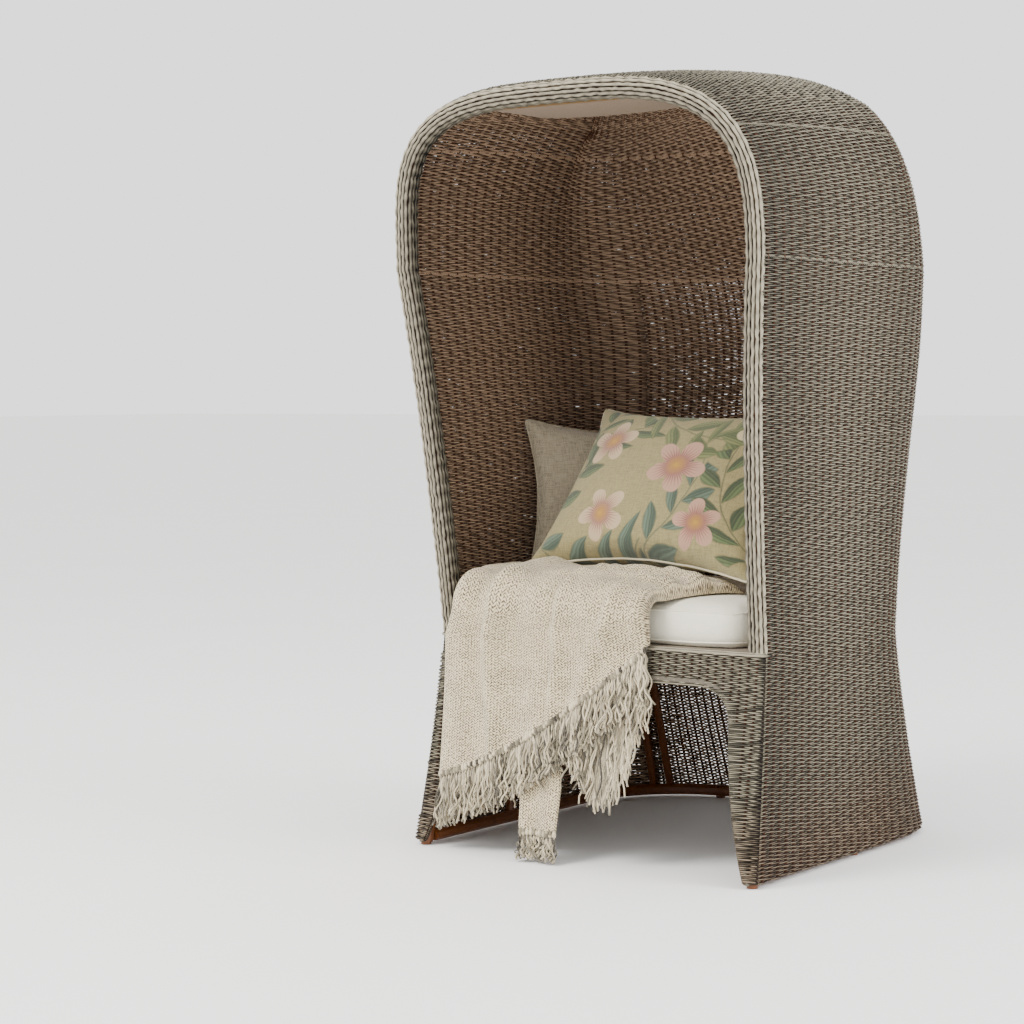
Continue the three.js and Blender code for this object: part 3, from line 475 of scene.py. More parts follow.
def finish_piece(piece, slot, *nodes):
    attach(piece, "root")
    if nodes:
        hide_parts(*nodes)
    return piece


def woven(name, runs, radius, sides, look, *nodes, outside=None, **settings):
    """A finished wicker piece of strands, which stands for the nodes. With outside, the settings of
    write_outside, it also knows its outer and its cabin side."""
    piece = strands(name, runs, radius, sides, **settings)
    if outside is not None:
        write_outside(piece, **outside)
    piece.data.materials.append(look)
    return finish_piece(piece, "grey_washed_wicker", *nodes)


class Value:
    """A node's output. Arithmetic on it adds the maths nodes to its tree."""

    def __init__(self, socket):
        self.socket = socket
        self.tree = socket.id_data

    def __add__(self, other):
        return maths("ADD", self, other)

    def __sub__(self, other):
        return maths("SUBTRACT", self, other)

    def __rsub__(self, other):
        return maths("SUBTRACT", other, self)

    def __mul__(self, other):
        return maths("MULTIPLY", self, other)

    def clamped(self):
        """Holds the last maths node's result between 0 and 1."""
        self.socket.node.use_clamp = True
        return self


def add_node(tree, kind, inputs=None, **settings):
    """Adds a node with its settings. An input takes a value, which is linked, or a number, a vector
    or an sRGB colour."""
    node = tree.nodes.new(kind)
    for key, value in settings.items():
        setattr(node, key, value)
    for key, value in (inputs or {}).items():
        if isinstance(value, Value):
            tree.links.new(value.socket, node.inputs[key])
        else:
            node.inputs[key].default_value = linear(value) if isinstance(value, str) else value
    return node


def value_from(tree, kind, output, inputs=None, **settings):
    """Adds a node and gives one of its outputs."""
    return Value(add_node(tree, kind, inputs, **settings).outputs[output])


def tree_of(*values):
    return next(value.tree for value in values if isinstance(value, Value))


def maths(operation, *values):
    inputs = dict(enumerate(values))
    return value_from(tree_of(*values), "ShaderNodeMath", 0, inputs, operation=operation)


def blend(factor, a, b):
    """The colour a where the factor is 0 and b where it is 1."""
    inputs = {0: factor, 6: a, 7: b}
    return value_from(tree_of(factor, a, b), "ShaderNodeMix", 2, inputs, data_type="RGBA")


def noise_of(place, scale, detail=2.0, roughness=0.5):
    inputs = {"Vector": place, "Scale": scale, "Detail": detail, "Roughness": roughness}
    return value_from(place.tree, "ShaderNodeTexNoise", "Fac", inputs)


def ranged(value, low, high):
    """Stretches a value so that low becomes 0 and high becomes 1."""
    inputs = {"Value": value, "From Min": low, "From Max": high}
    return value_from(value.tree, "ShaderNodeMapRange", "Result", inputs)


def mapped(place, inputs, **settings):
    inputs = {"Vector": place, **inputs}
    return value_from(place.tree, "ShaderNodeMapping", "Vector", inputs, **settings)


def axes_of(place):
    node = add_node(place.tree, "ShaderNodeSeparateXYZ", {"Vector": place})
    return [Value(output) for output in node.outputs]


def attribute(tree, name, output="Fac"):
    return value_from(tree, "ShaderNodeAttribute", output, attribute_name=name)


def object_place(tree):
    return value_from(tree, "ShaderNodeTexCoord", "Object")


def cloth_place(tree):
    """Where a place lies on its cloth, in metres, as the piece's own attribute keeps it."""
    return attribute(tree, "cloth", "Vector")


def new_material(name, roughness, **sockets):
    """A material, its tree and its shader, with the shader's constants given by name."""
    material = bpy.data.materials.new(name)
    material.use_nodes = True
    tree = material.node_tree
    shader = tree.nodes["Principled BSDF"]
    shader.inputs["Roughness"].default_value = roughness
    for key, value in sockets.items():
        shader.inputs[key.replace("_", " ")].default_value = value
    return material, tree, shader


def painted(shader, colour, relief=None, strength=0.0, distance=0.0):
    """Gives a shader its colour, and bumps from a relief as high as the distance."""
    colour.tree.links.new(colour.socket, shader.inputs["Base Color"])
    if relief is not None:
        inputs = {"Height": relief, "Strength": strength, "Distance": distance}
        bump = add_node(relief.tree, "ShaderNodeBump", inputs)
        relief.tree.links.new(bump.outputs["Normal"], shader.inputs["Normal"])


def wicker_material(name, crown, dip_shade, flank_shade_facing, floor_stain=True):
    """Willow wicker, lime-washed grey outside and brown inside the cabin, with painted shade: dark
    where the strands dive behind a stake and on their flanks, lighter on the crowns that face
    squarely out or in. Outside it is also browner near the floor."""
    material, tree, shader = new_material(name, 0.8, Specular_IOR_Level=0.2)
    place = object_place(tree)
    depth = attribute(tree, "depth")
    tone = attribute(tree, "tone") * 0.16
    patches = noise_of(place, 70.0, 3.0) * 0.2
    fibres = noise_of(place, 650.0, 3.0, 0.65)
    speckle = tone + patches + fibres * 0.5
    facing = attribute(tree, "facing")
    # Painted shade outside: from the near-black second colour where a strand dives behind a stake
    # or turns its flank, to the lime-washed crown colour where it faces straight out, mixed with
    # the strand's tone, patches and fibres.
    outer = ranged(depth + speckle, -1.0, 0.8) * ranged(facing, *flank_shade_facing)
    washed = blend(outer, dip_shade, crown)
    # Painted shade inside: the brown is darker where a strand dives away from the cabin and on its
    # flanks, lighter where it faces the cabin squarely.
    inner = ranged(speckle - depth, -1.1, 1.0) * ranged(facing, -0.1, -0.9)
    brown = blend(inner, "1c0a05", "cbab8e")
    if floor_stain:
        height = axes_of(place)[2]
        low = ranged(height - noise_of(place, 9.0) * 0.16, 0.10, -0.05)
        # Browner towards the floor; this brown also takes the painted shade of the dives and
        # flanks.
        washed = blend(low * 0.35, washed, blend(outer, "150b05", "96694a"))
    painted(shader, blend(attribute(tree, "outside"), brown, washed), fibres, 0.35, 0.0006)
    return material


def dark_wicker_material():
    """Uprights and linings, seen only between the strands, coloured dark as painted shade in the
    gaps of the weave.
    """
    material, tree, shader = new_material("painted_shade_wicker", 0.7, Specular_IOR_Level=0.15)
    fibres = noise_of(object_place(tree), 300.0, 3.0)
    painted(shader, blend(fibres, "22130a", "553420"), fibres, 0.3, 0.0006)
    return material


def pole_material():
    """Rattan pole, stained dark and oiled, with lighter flecks."""
    material, tree, shader = new_material("rattan_pole", 0.42)
    place = object_place(tree)
    streaks = noise_of(place, 45.0, 5.0, 0.6)
    fine = noise_of(place, 420.0)
    colour = blend(streaks, "4a260c", "84491c")
    painted(shader, blend(ranged(fine, 0.55, 0.8), colour, "9a6430"), fine, 0.2, 0.0006)
    return material


def plain_material(name, colour, roughness=0.7, spread=0.25, scale=60.0):
    """Painted board or washed cane of one colour, lighter and darker in patches."""
    material, tree, shader = new_material(name, roughness)
    blotch = noise_of(object_place(tree), scale, 4.0)
    base = linear(colour)
    low, high = ([min(1, c * share) for c in base[:3]] + [1] for share in (1 - spread, 1 + spread))
    painted(shader, blend(blotch, low, high))
    return material


def cloth_material(name, low, high, pitch, slub=0.35, roughness=0.92, relief=0.0006):
    """A plain-woven cloth of threads a pitch apart, with slubs along and across, and painted shade
    between the threads where the weave lies low.
    """
    sheen = {"Sheen_Weight": 0.2, "Sheen_Roughness": 0.6}
    material, tree, shader = new_material(name, roughness, **sheen)
    place = cloth_place(tree)
    x, y, _ = axes_of(place)
    wave = math.pi / pitch
    weave = maths("SINE", x * wave) * maths("SINE", y * wave) * 0.5 + 0.5
    slubs = noise_of(mapped(place, {"Scale": (1, 12, 1)}), 60.0, 3.0)
    crosses = noise_of(mapped(place, {"Scale": (12, 1, 1)}), 60.0, 3.0)
    mottled = slubs * 0.5 + crosses * 0.5
    # Partly painted shade: the colour is lighter where the weave stands high and darker between the
    # threads; slubs and crossings give the yarn's own tone.
    share = ranged(mottled, 0.35, 0.65) * slub + weave
    colour = blend(ranged(share, 0.2, 1.1), low, high)
    creased = noise_of(place, 16.0, 3.0, 0.55)
    painted(shader, colour, weave + mottled + creased * 9.0, 0.6, relief)
    return material, tree, shader, colour


def shape_group(name):
    """A new node group from a vector to a mask and a shade, and the vector's places x and y."""
    group = bpy.data.node_groups.new(name, "ShaderNodeTree")
    group.interface.new_socket("Vector", in_out="INPUT", socket_type="NodeSocketVector")
    for output in ("Mask", "Shade"):
        group.interface.new_socket(output, in_out="OUTPUT", socket_type="NodeSocketFloat")
    x, y, _ = axes_of(value_from(group, "NodeGroupInput", "Vector"))
    return group, x, y


def spray_shape():
    """A node group: a bent stem from the origin to 1 along X, with leaves on both sides in turn."""
    group, x, y = shape_group("spray_shape")
    centred = x - 0.5
    y = y + centred * centred * 0.7 - 0.1
    cell = x * 4.0 + maths("GREATER_THAN", y, 0.0) * 0.5
    along = maths("FRACT", cell) * 0.25
    away = maths("ABSOLUTE", y)
    cos, sin = math.cos(LEAF_ANGLE), math.sin(LEAF_ANGLE)
    leaf_x = along * cos + away * sin
    leaf_y = away * cos - along * sin
    share = leaf_x * 3.1
    belly = share * (1.0 - share)
    off = maths("ABSOLUTE", leaf_y)
    leaf = belly * 0.24 - off
    stem = 0.011 - away
    ends = 0.5 - maths("ABSOLUTE", centred)
    whole = maths("MINIMUM", maths("MAXIMUM", leaf, stem), ends)
    mask = (whole * 70.0).clamped()
    inner = ((whole - 0.006) * 90.0).clamped()
    half = (leaf_y * 40.0).clamped()
    rib = 1.0 - (off * 90.0).clamped()
    veins = maths("SINE", leaf_y * 260.0)
    shade = half * 0.5 + rib * 0.4 + veins * 0.16
    add_node(group, "NodeGroupOutput", {"Mask": mask, "Shade": shade * inner})
    return group


def blossom_shape():
    """A node group: an open blossom of five rounded petals round the origin, of radius 1."""
    group, x, y = shape_group("blossom_shape")
    angle = maths("ARCTAN2", y, x)
    reach = maths("SQRT", x * x + y * y)
    petals = maths("ABSOLUTE", maths("COSINE", angle * 2.5))
    edge = maths("POWER", petals, 0.8) * 0.62 + 0.38
    mask = ((edge - reach) * 22.0).clamped()
    shade = reach + maths("SINE", angle * 40.0) * 0.14
    add_node(group, "NodeGroupOutput", {"Mask": mask, "Shade": shade})
    return group


def placed_shape(group, place, x, y, turn, length, width):
    """The mask and the shade of a shape that is laid at a place of the cloth."""
    inputs = {"Location": (x, y, 0), "Rotation": (0, 0, turn), "Scale": (length, width, 1)}
    inputs = {"Vector": mapped(place, inputs, vector_type="TEXTURE")}
    node = add_node(place.tree, "ShaderNodeGroup", inputs, node_tree=group)
    return Value(node.outputs["Mask"]), Value(node.outputs["Shade"])


def print_material():
    """Linen with a faded garden print: leafy sprays and open blossoms on a straw ground."""
    made = cloth_material("printed_linen", "5a5030", "938757", 0.0011, 0.6)
    material, tree, shader, ground = made
    place = cloth_place(tree)
    warp = {"Vector": place, "Scale": 18.0, "Detail": 1.0}
    warp = {0: value_from(tree, "ShaderNodeTexNoise", "Color", warp), "Scale": 0.012}
    moved = value_from(tree, "ShaderNodeVectorMath", "Vector", warp, operation="SCALE")
    moved = {0: place, 1: moved}
    place = value_from(tree, "ShaderNodeVectorMath", "Vector", moved, operation="ADD")
    spray, blossom = spray_shape(), blossom_shape()
    colour = ground
    for index, spot in enumerate(PRINT_SPRAYS):
        mask, shade = placed_shape(spray, place, *spot)
        colour = blend(mask, colour, blend(shade, *LEAF_COLOURS[index % 3]))
    for index, (x, y, turn, size) in enumerate(PRINT_BLOSSOMS):
        mask, shade = placed_shape(blossom, place, x, y, turn, size, size)
        petal = blend(ranged(shade, 0.18, 0.72), "6d1f28", PETAL_COLOURS[index % 3])
        petal = blend(ranged(shade, 0.16, 0.24), "a57a1f", petal)
        colour = blend(mask, colour, petal)
    painted(shader, blend(0.08, colour, ground))
    return material


def knit_material():
    """Cotton and acrylic knit in narrow slanting ribs, of light and dark yarn plied together, with
    painted shade in the grooves between its rows and ribs.
    """
    sheen = {"Sheen_Weight": 0.3, "Sheen_Roughness": 0.5}
    material, tree, shader = new_material("knit_throw", 0.95, **sheen)
    place = cloth_place(tree)
    x, y, _ = axes_of(place)
    column = maths("PINGPONG", x, KNIT_COLUMN)
    slanted = y + column * 0.9
    rows = maths("SINE", slanted * (math.tau / KNIT_ROW))
    ribs = maths("SINE", x * (math.tau / KNIT_COLUMN))
    height = rows * 0.35 + ribs * 0.15
    yarns = noise_of(place, 270.0, 3.0, 0.75)
    patches = noise_of(place, 25.0)
    # Painted shade, partly: the colour is lighter on the tops of the rows and ribs and darker in
    # the grooves between them; yarns and patches give the yarn's own tone.
    share = height + ranged(yarns, 0.35, 0.65) * 1.1 + patches * 0.5
    colour = blend(ranged(share, 0.38, 1.05), "46351e", "ecd9b0")
    painted(shader, colour, height + yarns * 0.3, 0.9, 0.0022)
    return material


def yarn_material():
    """Loose ends of the throw's yarn, cream with some grey among it."""
    sheen = {"Sheen_Weight": 0.3, "Sheen_Roughness": 0.5}
    material, tree, shader = new_material("fringe_yarn", 0.95, **sheen)
    fuzz = noise_of(object_place(tree), 500.0, 3.0)
    share = attribute(tree, "tone") + fuzz * 0.5
    painted(shader, blend(ranged(share, 0.25, 1.2), "241e16", "d8c9a8"), fuzz, 0.4, 0.0008)
    return material


MADE = {}


def shared(make, *settings):
    """A material that several pieces share, made once."""
    key = (make, *settings)
    if key not in MADE:
        MADE[key] = make(*settings)
    return MADE[key]


# The near-black second colour is painted shade for the dives and flanks; the range is the facing at
# which a strand turns from shaded flank to lit crown.
def wicker():
    return shared(wicker_material, "grey_washed_wicker", "9d9580", "060504", (0.38, 0.95))


def border_wicker():
    return shared(wicker_material, "border_wicker", "a39a86", "060504", (0.1, 0.82), False)


def dark_wicker():
    return shared(dark_wicker_material)


def run_lengths(points):
    steps = np.linalg.norm(np.diff(points, axis=0), axis=1)
    return np.concatenate([[0], np.cumsum(steps)])


def unit(vectors):
    return vectors / np.linalg.norm(vectors, axis=1, keepdims=True)


def mirrored(points):
    """The same run on the other side, in the other direction."""
    return points[::-1] * np.array([-1, 1, 1])


def stake_places():
    """Places u of the upright stakes on half of the U, set closer together in the back."""
    props = bpy.context.scene.beach_chair
    back = (0, PANEL_CORNER_U, props.back_stake_pitch)
    parts = []
    for low, high, step in (back, (PANEL_CORNER_U, 3, props.stake_pitch)):
        probe = np.linspace(low, high, 400)
        run = run_lengths(shell(probe, STAKE_LEVEL, WALL / 2, ROW_FRONT)[0])
        count = round(run[-1] / step)
        parts.append(np.interp((np.arange(count) + 0.5) / count * run[-1], run, probe))
    return np.concatenate(parts)


def both_halves(places):
    return np.concatenate([-places[::-1], places])


def level_rows(low, high):
    """Levels one row pitch apart, as run over the shell at its straight side."""
    probe = np.linspace(low, high, 500)
    if high > SHOULDER_Z:
        steep = dome_level(np.linspace(SHOULDER_Z + 0.001, ARCH_TOP_Z - 0.02, 300))
        fine = high - np.geomspace(1e-7, 0.02, 90)
        probe = np.unique(np.clip(np.concatenate([probe, steep, fine]), low, high))
    run = run_lengths(shell(2.5, probe, WALL / 2)[:, 0])
    count = int(run[-1] / bpy.context.scene.beach_chair.row_pitch)
    return np.interp((np.arange(count) + 0.5) / count * run[-1], run, probe)


def row_places(places, ends):
    """The places u of a weft row: its ends, the stakes and the middles between them."""
    u = np.empty(2 * len(places) + 1)
    u[1::2] = places
    u[2:-1:2] = (places[1:] + places[:-1]) / 2
    u[0], u[-1] = ends
    return u


def weave_piece(name, places, levels, ends, node, first_row):
    """Weft strands on the level lines at the stake places, over one stake and under the next."""
    props = bpy.context.scene.beach_chair
    u = row_places(places, ends)
    normals = shell_normals(u, levels, ROW_FRONT)
    rows = np.arange(len(levels))[:, None] + first_row
    sign = np.zeros((len(levels), len(u)))
    sign[:, 1::2] = np.where((rows + np.arange(len(places))[None, :]) % 2, 1, -1)
    waver = np.random.default_rng(first_row + 7).normal(0, ROW_WAVER, (*sign.shape, 1))
    runs = shell(u, levels, WALL / 2, ROW_FRONT) + normals * (sign * props.weave_swing)[..., None]
    runs = runs + waver * np.array([0, 0, 1])
    scale = np.random.default_rng(first_row + 3).normal(1, STRAND_SPREAD, sign.shape)
    scale[:, 0::2] *= BETWEEN_STAKES
    room = np.linalg.norm(np.gradient(shell(u, levels, WALL / 2), axis=0), axis=2)
    scale *= np.clip(room / props.row_pitch, *ROOM_LIMITS)
    if name == "back_weft":
        middle = 1 - (u / PANEL_CORNER_U) ** 2
        openness = np.where(levels < SEAT_Z - 0.01, *BACK_OPENNESS)
        scale *= 1 - openness[:, None] * np.sqrt(middle)
    settings = {"scales": list(scale), "seed": first_row + 11, "depths": list(sign), "outside": {}}
    woven(name, list(runs), props.weft_diameter / 2, 4, wicker(), node, **settings)


class BeachChairProperties(bpy.types.PropertyGroup):
    """Sizes of the chair's weave."""

    stake_pitch: bpy.props.FloatProperty(
        name="Stake pitch",
        description="Distance between upright stakes",
        default=0.0265, unit="LENGTH"
    )
    back_stake_pitch: bpy.props.FloatProperty(
        name="Back stake pitch",
        description="Distance between stakes in the back",
        default=0.017, unit="LENGTH"
    )
    row_pitch: bpy.props.FloatProperty(
        name="Row pitch",
        description="Distance between weft rows",
        default=0.0034, unit="LENGTH"
    )
    weft_diameter: bpy.props.FloatProperty(
        name="Weft diameter",
        description="Thickness of a weft strand",
        default=0.0049, unit="LENGTH"
    )
    weave_swing: bpy.props.FloatProperty(
        name="Weave swing",
        description="How far the weft swings to each side",
        default=0.003, unit="LENGTH"
    )
    stake_diameter: bpy.props.FloatProperty(
        name="Stake diameter",
        description="Thickness of an upright stake",
        default=0.0068, unit="LENGTH"
    )
    border_pitch: bpy.props.FloatProperty(
        name="Border pitch",
        description="Length of the border's waves",
        default=0.027, unit="LENGTH"
    )


class BEACHCHAIR_OT_walls(bpy.types.Operator):
    """Weave the side and back walls"""

    bl_idname = "beach_chair.walls"
    bl_label = "Weave Walls"

    def execute(self, context):
        half = stake_places()
        levels = level_rows(*WALL_LEVELS)
        side = half[half > PANEL_CORNER_U]
        back = both_halves(half[half < PANEL_CORNER_U])
        corner = PANEL_CORNER_U
        weave_piece("side_weft_right", side, levels, (corner, 3), "side_weave_right", 0)
        weave_piece("side_weft_left", -side[::-1], levels, (-3, -corner), "side_weave_left", 1)
        weave_piece("back_weft", back, levels, (-corner, corner), "back_weave", 2)
        return {"FINISHED"}


class BEACHCHAIR_OT_hood(bpy.types.Operator):
    """Weave the shoulder band and the domed roof"""

    bl_idname = "beach_chair.hood"
    bl_label = "Weave Hood"

    def execute(self, context):
        both = both_halves(stake_places())
        top = ROOF_LEVEL - 1e-5
        low = dome_level(SHOULDER_Z + RING_RADIUS - 0.003)
        high = dome_level(CROWN_RING_Z - RING_RADIUS + ROW_UNDER_RING)
        weave_piece("shoulder_weft", both, level_rows(low, high), (-3, 3), "shoulder_weave", 3)
        low = dome_level(CROWN_RING_Z + RING_RADIUS - ROW_UNDER_RING)
        weave_piece("roof_weft", both, level_rows(low, top), (-3, 3), "roof_weave", 4)
        middle = shell(np.linspace(3, 0.05, 60), top, WALL / 2, ROW_FRONT)[0]
        woven("roof_ridge", [middle], RIDGE_RADIUS, 6, wicker(), seed=6, outside={})
        return {"FINISHED"}


class BEACHCHAIR_OT_stakes(bpy.types.Operator):
    """Set the upright stakes that the weft runs round"""

    bl_idname = "beach_chair.stakes"
    bl_label = "Set Stakes"

    def execute(self, context):
        radius = context.scene.beach_chair.stake_diameter / 2
        top = ROOF_LEVEL - 0.03
        wall = np.linspace(FLOOR_GAP + 0.003, SHOULDER_Z, 34)
        dome = dome_level(np.linspace(SHOULDER_Z + 0.004, ARCH_TOP_Z - 0.03, 14))
        levels = np.concatenate([wall, dome, [top - 0.06, top]])
        points = shell(both_halves(stake_places()), levels, WALL / 2, ROW_FRONT)
        # The stakes are coloured dark as painted shade in the gaps of the weave.
        woven("stakes", list(np.swapaxes(points, 0, 1)), radius, 6, dark_wicker())
        return {"FINISHED"}


def twisted_ring(name, level, node):
    """A ring of four strands twisted round each other, woven in at a crease of the shell."""
    front = np.linspace(2, 3, 70)[1:]
    u = np.concatenate([-front[::-1], np.linspace(-2, 2, 260), front])
    run = run_lengths(shell(u, level, WALL / 2, ROW_FRONT)[0])
    u = np.interp(np.arange(0, run[-1], RING_STEP), run, u)
    centre = shell(u, level, WALL / 2, ROW_FRONT)[0]
    normal = shell_normals(u, level, ROW_FRONT)[0]
    third = np.cross(unit(np.gradient(centre, axis=0)), normal)
    runs = []
    for strand in range(4):
        turn = (np.arange(len(u)) * RING_TWIST + strand * math.pi / 2)[:, None]
        runs.append(centre + (normal * np.cos(turn) + third * np.sin(turn)) * RING_TWIST_RADIUS)
    # A depth a little under the middle, so the ring's strands take a little of the painted shade of
    # dipping strands.
    depths = [np.full(len(u), -0.1)] * 4
    woven(name, runs, RING_STRAND_RADIUS, 6, wicker(), node, seed=5, depths=depths, outside={})


class BEACHCHAIR_OT_rings(bpy.types.Operator):
    """Twist the rings that are woven in at the hood's two creases"""

    bl_idname = "beach_chair.rings"
    bl_label = "Twist Rings"

    def execute(self, context):
        twisted_ring("shoulder_twist", SHOULDER_Z, "shoulder_ring")
        twisted_ring("crown_twist", dome_level(CROWN_RING_Z), "crown_ring")
        return {"FINISHED"}


def bend(start, middle, end, t):
    """A quadratic curve from start to end, drawn towards the middle."""
    return start * (1 - t) ** 2 + middle * 2 * t * (1 - t) + end * t * t


def arch_opening():
    """The arched opening's right half in front view, as places x and z from the floor up."""
    foot = np.array([FLOOR_HALF_WIDTH - LEG_FOOT_WIDTH, 0])
    spring = np.array([float(half_width(LEG_SPRING_Z)) - LEG_WIDTH, LEG_SPRING_Z])
    lean = np.array([mix(spring[0], foot[0], LEG_WAIST_IN / 2), mix(0, LEG_SPRING_Z, LEG_WAIST_UP)])
    corner = np.array([spring[0] - ARCH_CORNER / 180, ARCH_UNDERSIDE_Z])
    shoulder = np.array([spring[0] - ARCH_CORNER, ARCH_UNDERSIDE_Z])
    t = np.linspace(0, 1, 24)[:, None]
    level = np.linspace(shoulder[0], 0, 14)[1:]
    flat = np.stack([level, np.full(len(level), ARCH_UNDERSIDE_Z)], 1)
    leg, turn = bend(foot, lean, spring, t), bend(spring, corner, shoulder, t)
    return np.concatenate([leg, turn[1:], flat])


def apron_point(s, z, out):
    """A point of the apron at a distance s from its middle, measured on its outer face and round
    its corner to the side, and out from the middle of its thickness."""
    radius = CORNER_RADIUS
    flat = half_width(z) - radius
    reach = np.abs(s)
    turn = np.clip((reach - flat) / radius, 0, math.pi / 2)
    deep = np.maximum(reach - flat - radius * math.pi / 2, 0)
    r = radius - WALL / 2 + out
    x = np.where(reach <= flat, reach, flat + r * np.sin(turn)) * np.where(s < 0, -1.0, 1.0)
    y = front_y(z) + radius - r * np.cos(turn) + deep
    return np.stack([x, y + SHIFT_Y, z + 0 * x], -1)


def apron_rows(arch, stakes, pitch):
    """Weft runs of the apron and their depths. A row beside the opening turns round its edge."""
    swing = bpy.context.scene.beach_chair.weave_swing
    climb = np.argsort(arch[:APRON_CLIMB, 1])
    rows = level_rows(*WALL_LEVELS)
    runs, depths = [], []
    for row, z in enumerate(rows[rows < APRON_TOP_Z]):
        end = float(half_width(z)) + 0.3 * CORNER_RADIUS
        opening = 0.0
        if z < ARCH_UNDERSIDE_Z - 0.001:
            opening = float(np.interp(z, arch[climb, 1], arch[climb, 0]))
        low, ends = (opening + 0.012, [end]) if opening > 0 else (0.006 - end, [-end, end])
        inner = stakes[(stakes > low) & (stakes < end - 0.006)]
        s = np.sort(np.concatenate([inner, (inner[1:] + inner[:-1]) / 2, ends]))
        count = np.round(s / pitch - 0.5).astype(int)
        on_stake = np.abs(s / pitch - 0.5 - count) < 0.01
        out = np.where(on_stake, np.where((count + row) % 2, 1.0, -1.0), 0.0) * swing
        if opening > 0:
            s = np.concatenate([opening + WRAP_PLACES, s])
            out = np.concatenate([WRAP_DEPTHS, out])
        points, depth = apron_point(s, z, out), np.clip(out / swing, -1, 1)
        runs += [points, mirrored(points)] if opening > 0 else [points]
        depths += [depth, depth[::-1]] if opening > 0 else [depth]
    return runs, depths


class BEACHCHAIR_OT_apron(bpy.types.Operator):
    """Weave the apron under the seat and wrap the edge of its arch"""

    bl_idname = "beach_chair.apron"
    bl_label = "Weave Apron"

    def execute(self, context):
        props = context.scene.beach_chair
        pitch = props.back_stake_pitch
        arch = arch_opening()
        stakes = (np.arange(APRON_STAKES) - APRON_STAKES // 2 + 0.5) * pitch
        runs, depths = apron_rows(arch, stakes, pitch)
        chance = np.random.default_rng(21)
        scales = [chance.normal(1, STRAND_SPREAD, len(run)) for run in runs]
        ahead = {"gain": 2.5, "bias": 1.0, "ahead": True}
        settings = {"scales": scales, "seed": 23, "depths": depths, "outside": ahead}
        woven("apron_weft", runs, props.weft_diameter / 2, 4, wicker(), "apron_weave", **settings)

        inner = stakes[np.abs(stakes) < WAIST_HALF_WIDTH - 0.006]
        feet = np.interp(np.abs(inner), arch[::-1, 0], arch[::-1, 1]) + 0.004
        heads = np.full(len(inner), APRON_TOP_Z - 0.004)
        heights = np.linspace(feet, heads, 12).T
        posts = [apron_point(s, z, 0.0) for s, z in zip(inner, heights)]
        # The apron's stakes are coloured dark as painted shade in the gaps of the weave.
        woven("apron_stakes", posts, APRON_STAKE_RADIUS, 6, dark_wicker(), seed=27)

        run = np.gradient(arch, axis=0)
        places = arch - unit(np.stack([run[:, 1], -run[:, 0]], 1)) * TRIM_INSET
        x, z = places[places[:, 1] > 0.009].T
        edge = []
        for out in TRIM_DEPTHS:
            right = np.stack([x, front_y(z) + WALL / 2 - out + SHIFT_Y, z], 1)
            edge.append(np.concatenate([right, mirrored(right)[1:]]))
        ahead = {**ahead, "bias": 1.2}
        woven("arch_trim", edge, TRIM_RADIUS, 6, wicker(), seed=29, outside=ahead)

        half = float(half_width(WAIST_Z)) + RIM_SIZE - 0.02
        s = np.linspace(-half, half, 120)
        ledge = []
        for index, (rise, out) in enumerate(LEDGE_PLACES):
            waver = np.sin(s * math.tau / LEDGE_WAVE + index * 2.1) * 0.0009
            ledge.append(apron_point(s, np.full(len(s), APRON_TOP_Z + rise), out + waver))
        woven("apron_ledge", ledge, LEDGE_RADIUS, 6, border_wicker(), seed=31, outside=ahead)
        return {"FINISHED"}


def hoop_path(step):
    """The middle of the border at even steps, from the apron's top on the right over the arch to
    the left."""
    levels = np.concatenate(
        [
            np.linspace(APRON_TOP_Z, SHOULDER_Z, 60),
            dome_level(np.linspace(SHOULDER_Z + 0.002, ARCH_TOP_Z - 0.02, 60)),
            np.linspace(dome_level(ARCH_TOP_Z - 0.019), ROOF_LEVEL, 60),
        ]
    )
    outer = shell(3.0, levels)[:, 0]
    run = np.gradient(outer, axis=0)
    moved = outer + unit(np.stack([-run[:, 2], 0 * run[:, 0], run[:, 0]], 1)) * HOOP_INSET
    level = moved[:, 2] + np.where(moved[:, 2] > SHOULDER_Z, HOOP_INSET, 0)
    moved[:, 1] = front_y(level) + HOOP_INSET + SHIFT_Y
    path = np.concatenate([moved, mirrored(moved)[1:]])
    lengths = run_lengths(path)
    at = np.linspace(0, lengths[-1], int(lengths[-1] / step) + 1)
    return np.stack([np.interp(at, lengths, path[:, axis]) for axis in range(3)], 1)


def rounded_square(half, corner, count, phase):
    """Places round a rounded square at even steps, and the direction out at each."""
    straight = 2 * (half - corner)
    side = straight + corner * math.pi / 2
    places, outs = [], []
    for index in range(count):
        quarter, s = divmod((index + phase) / count * 4 * side, side)
        if s < straight:
            place, out = np.array([half, s - straight / 2]), np.array([1.0, 0.0])
        else:
            a = (s - straight) / corner
            out = np.array([math.cos(a), math.sin(a)])
            place = np.array([half - corner, half - corner]) + corner * out
        cos, sin = math.cos(quarter * math.pi / 2), math.sin(quarter * math.pi / 2)
        spin = np.array([[cos, -sin], [sin, cos]])
        places.append(spin @ place)
        outs.append(spin @ out)
    return np.array(places), np.array(outs)


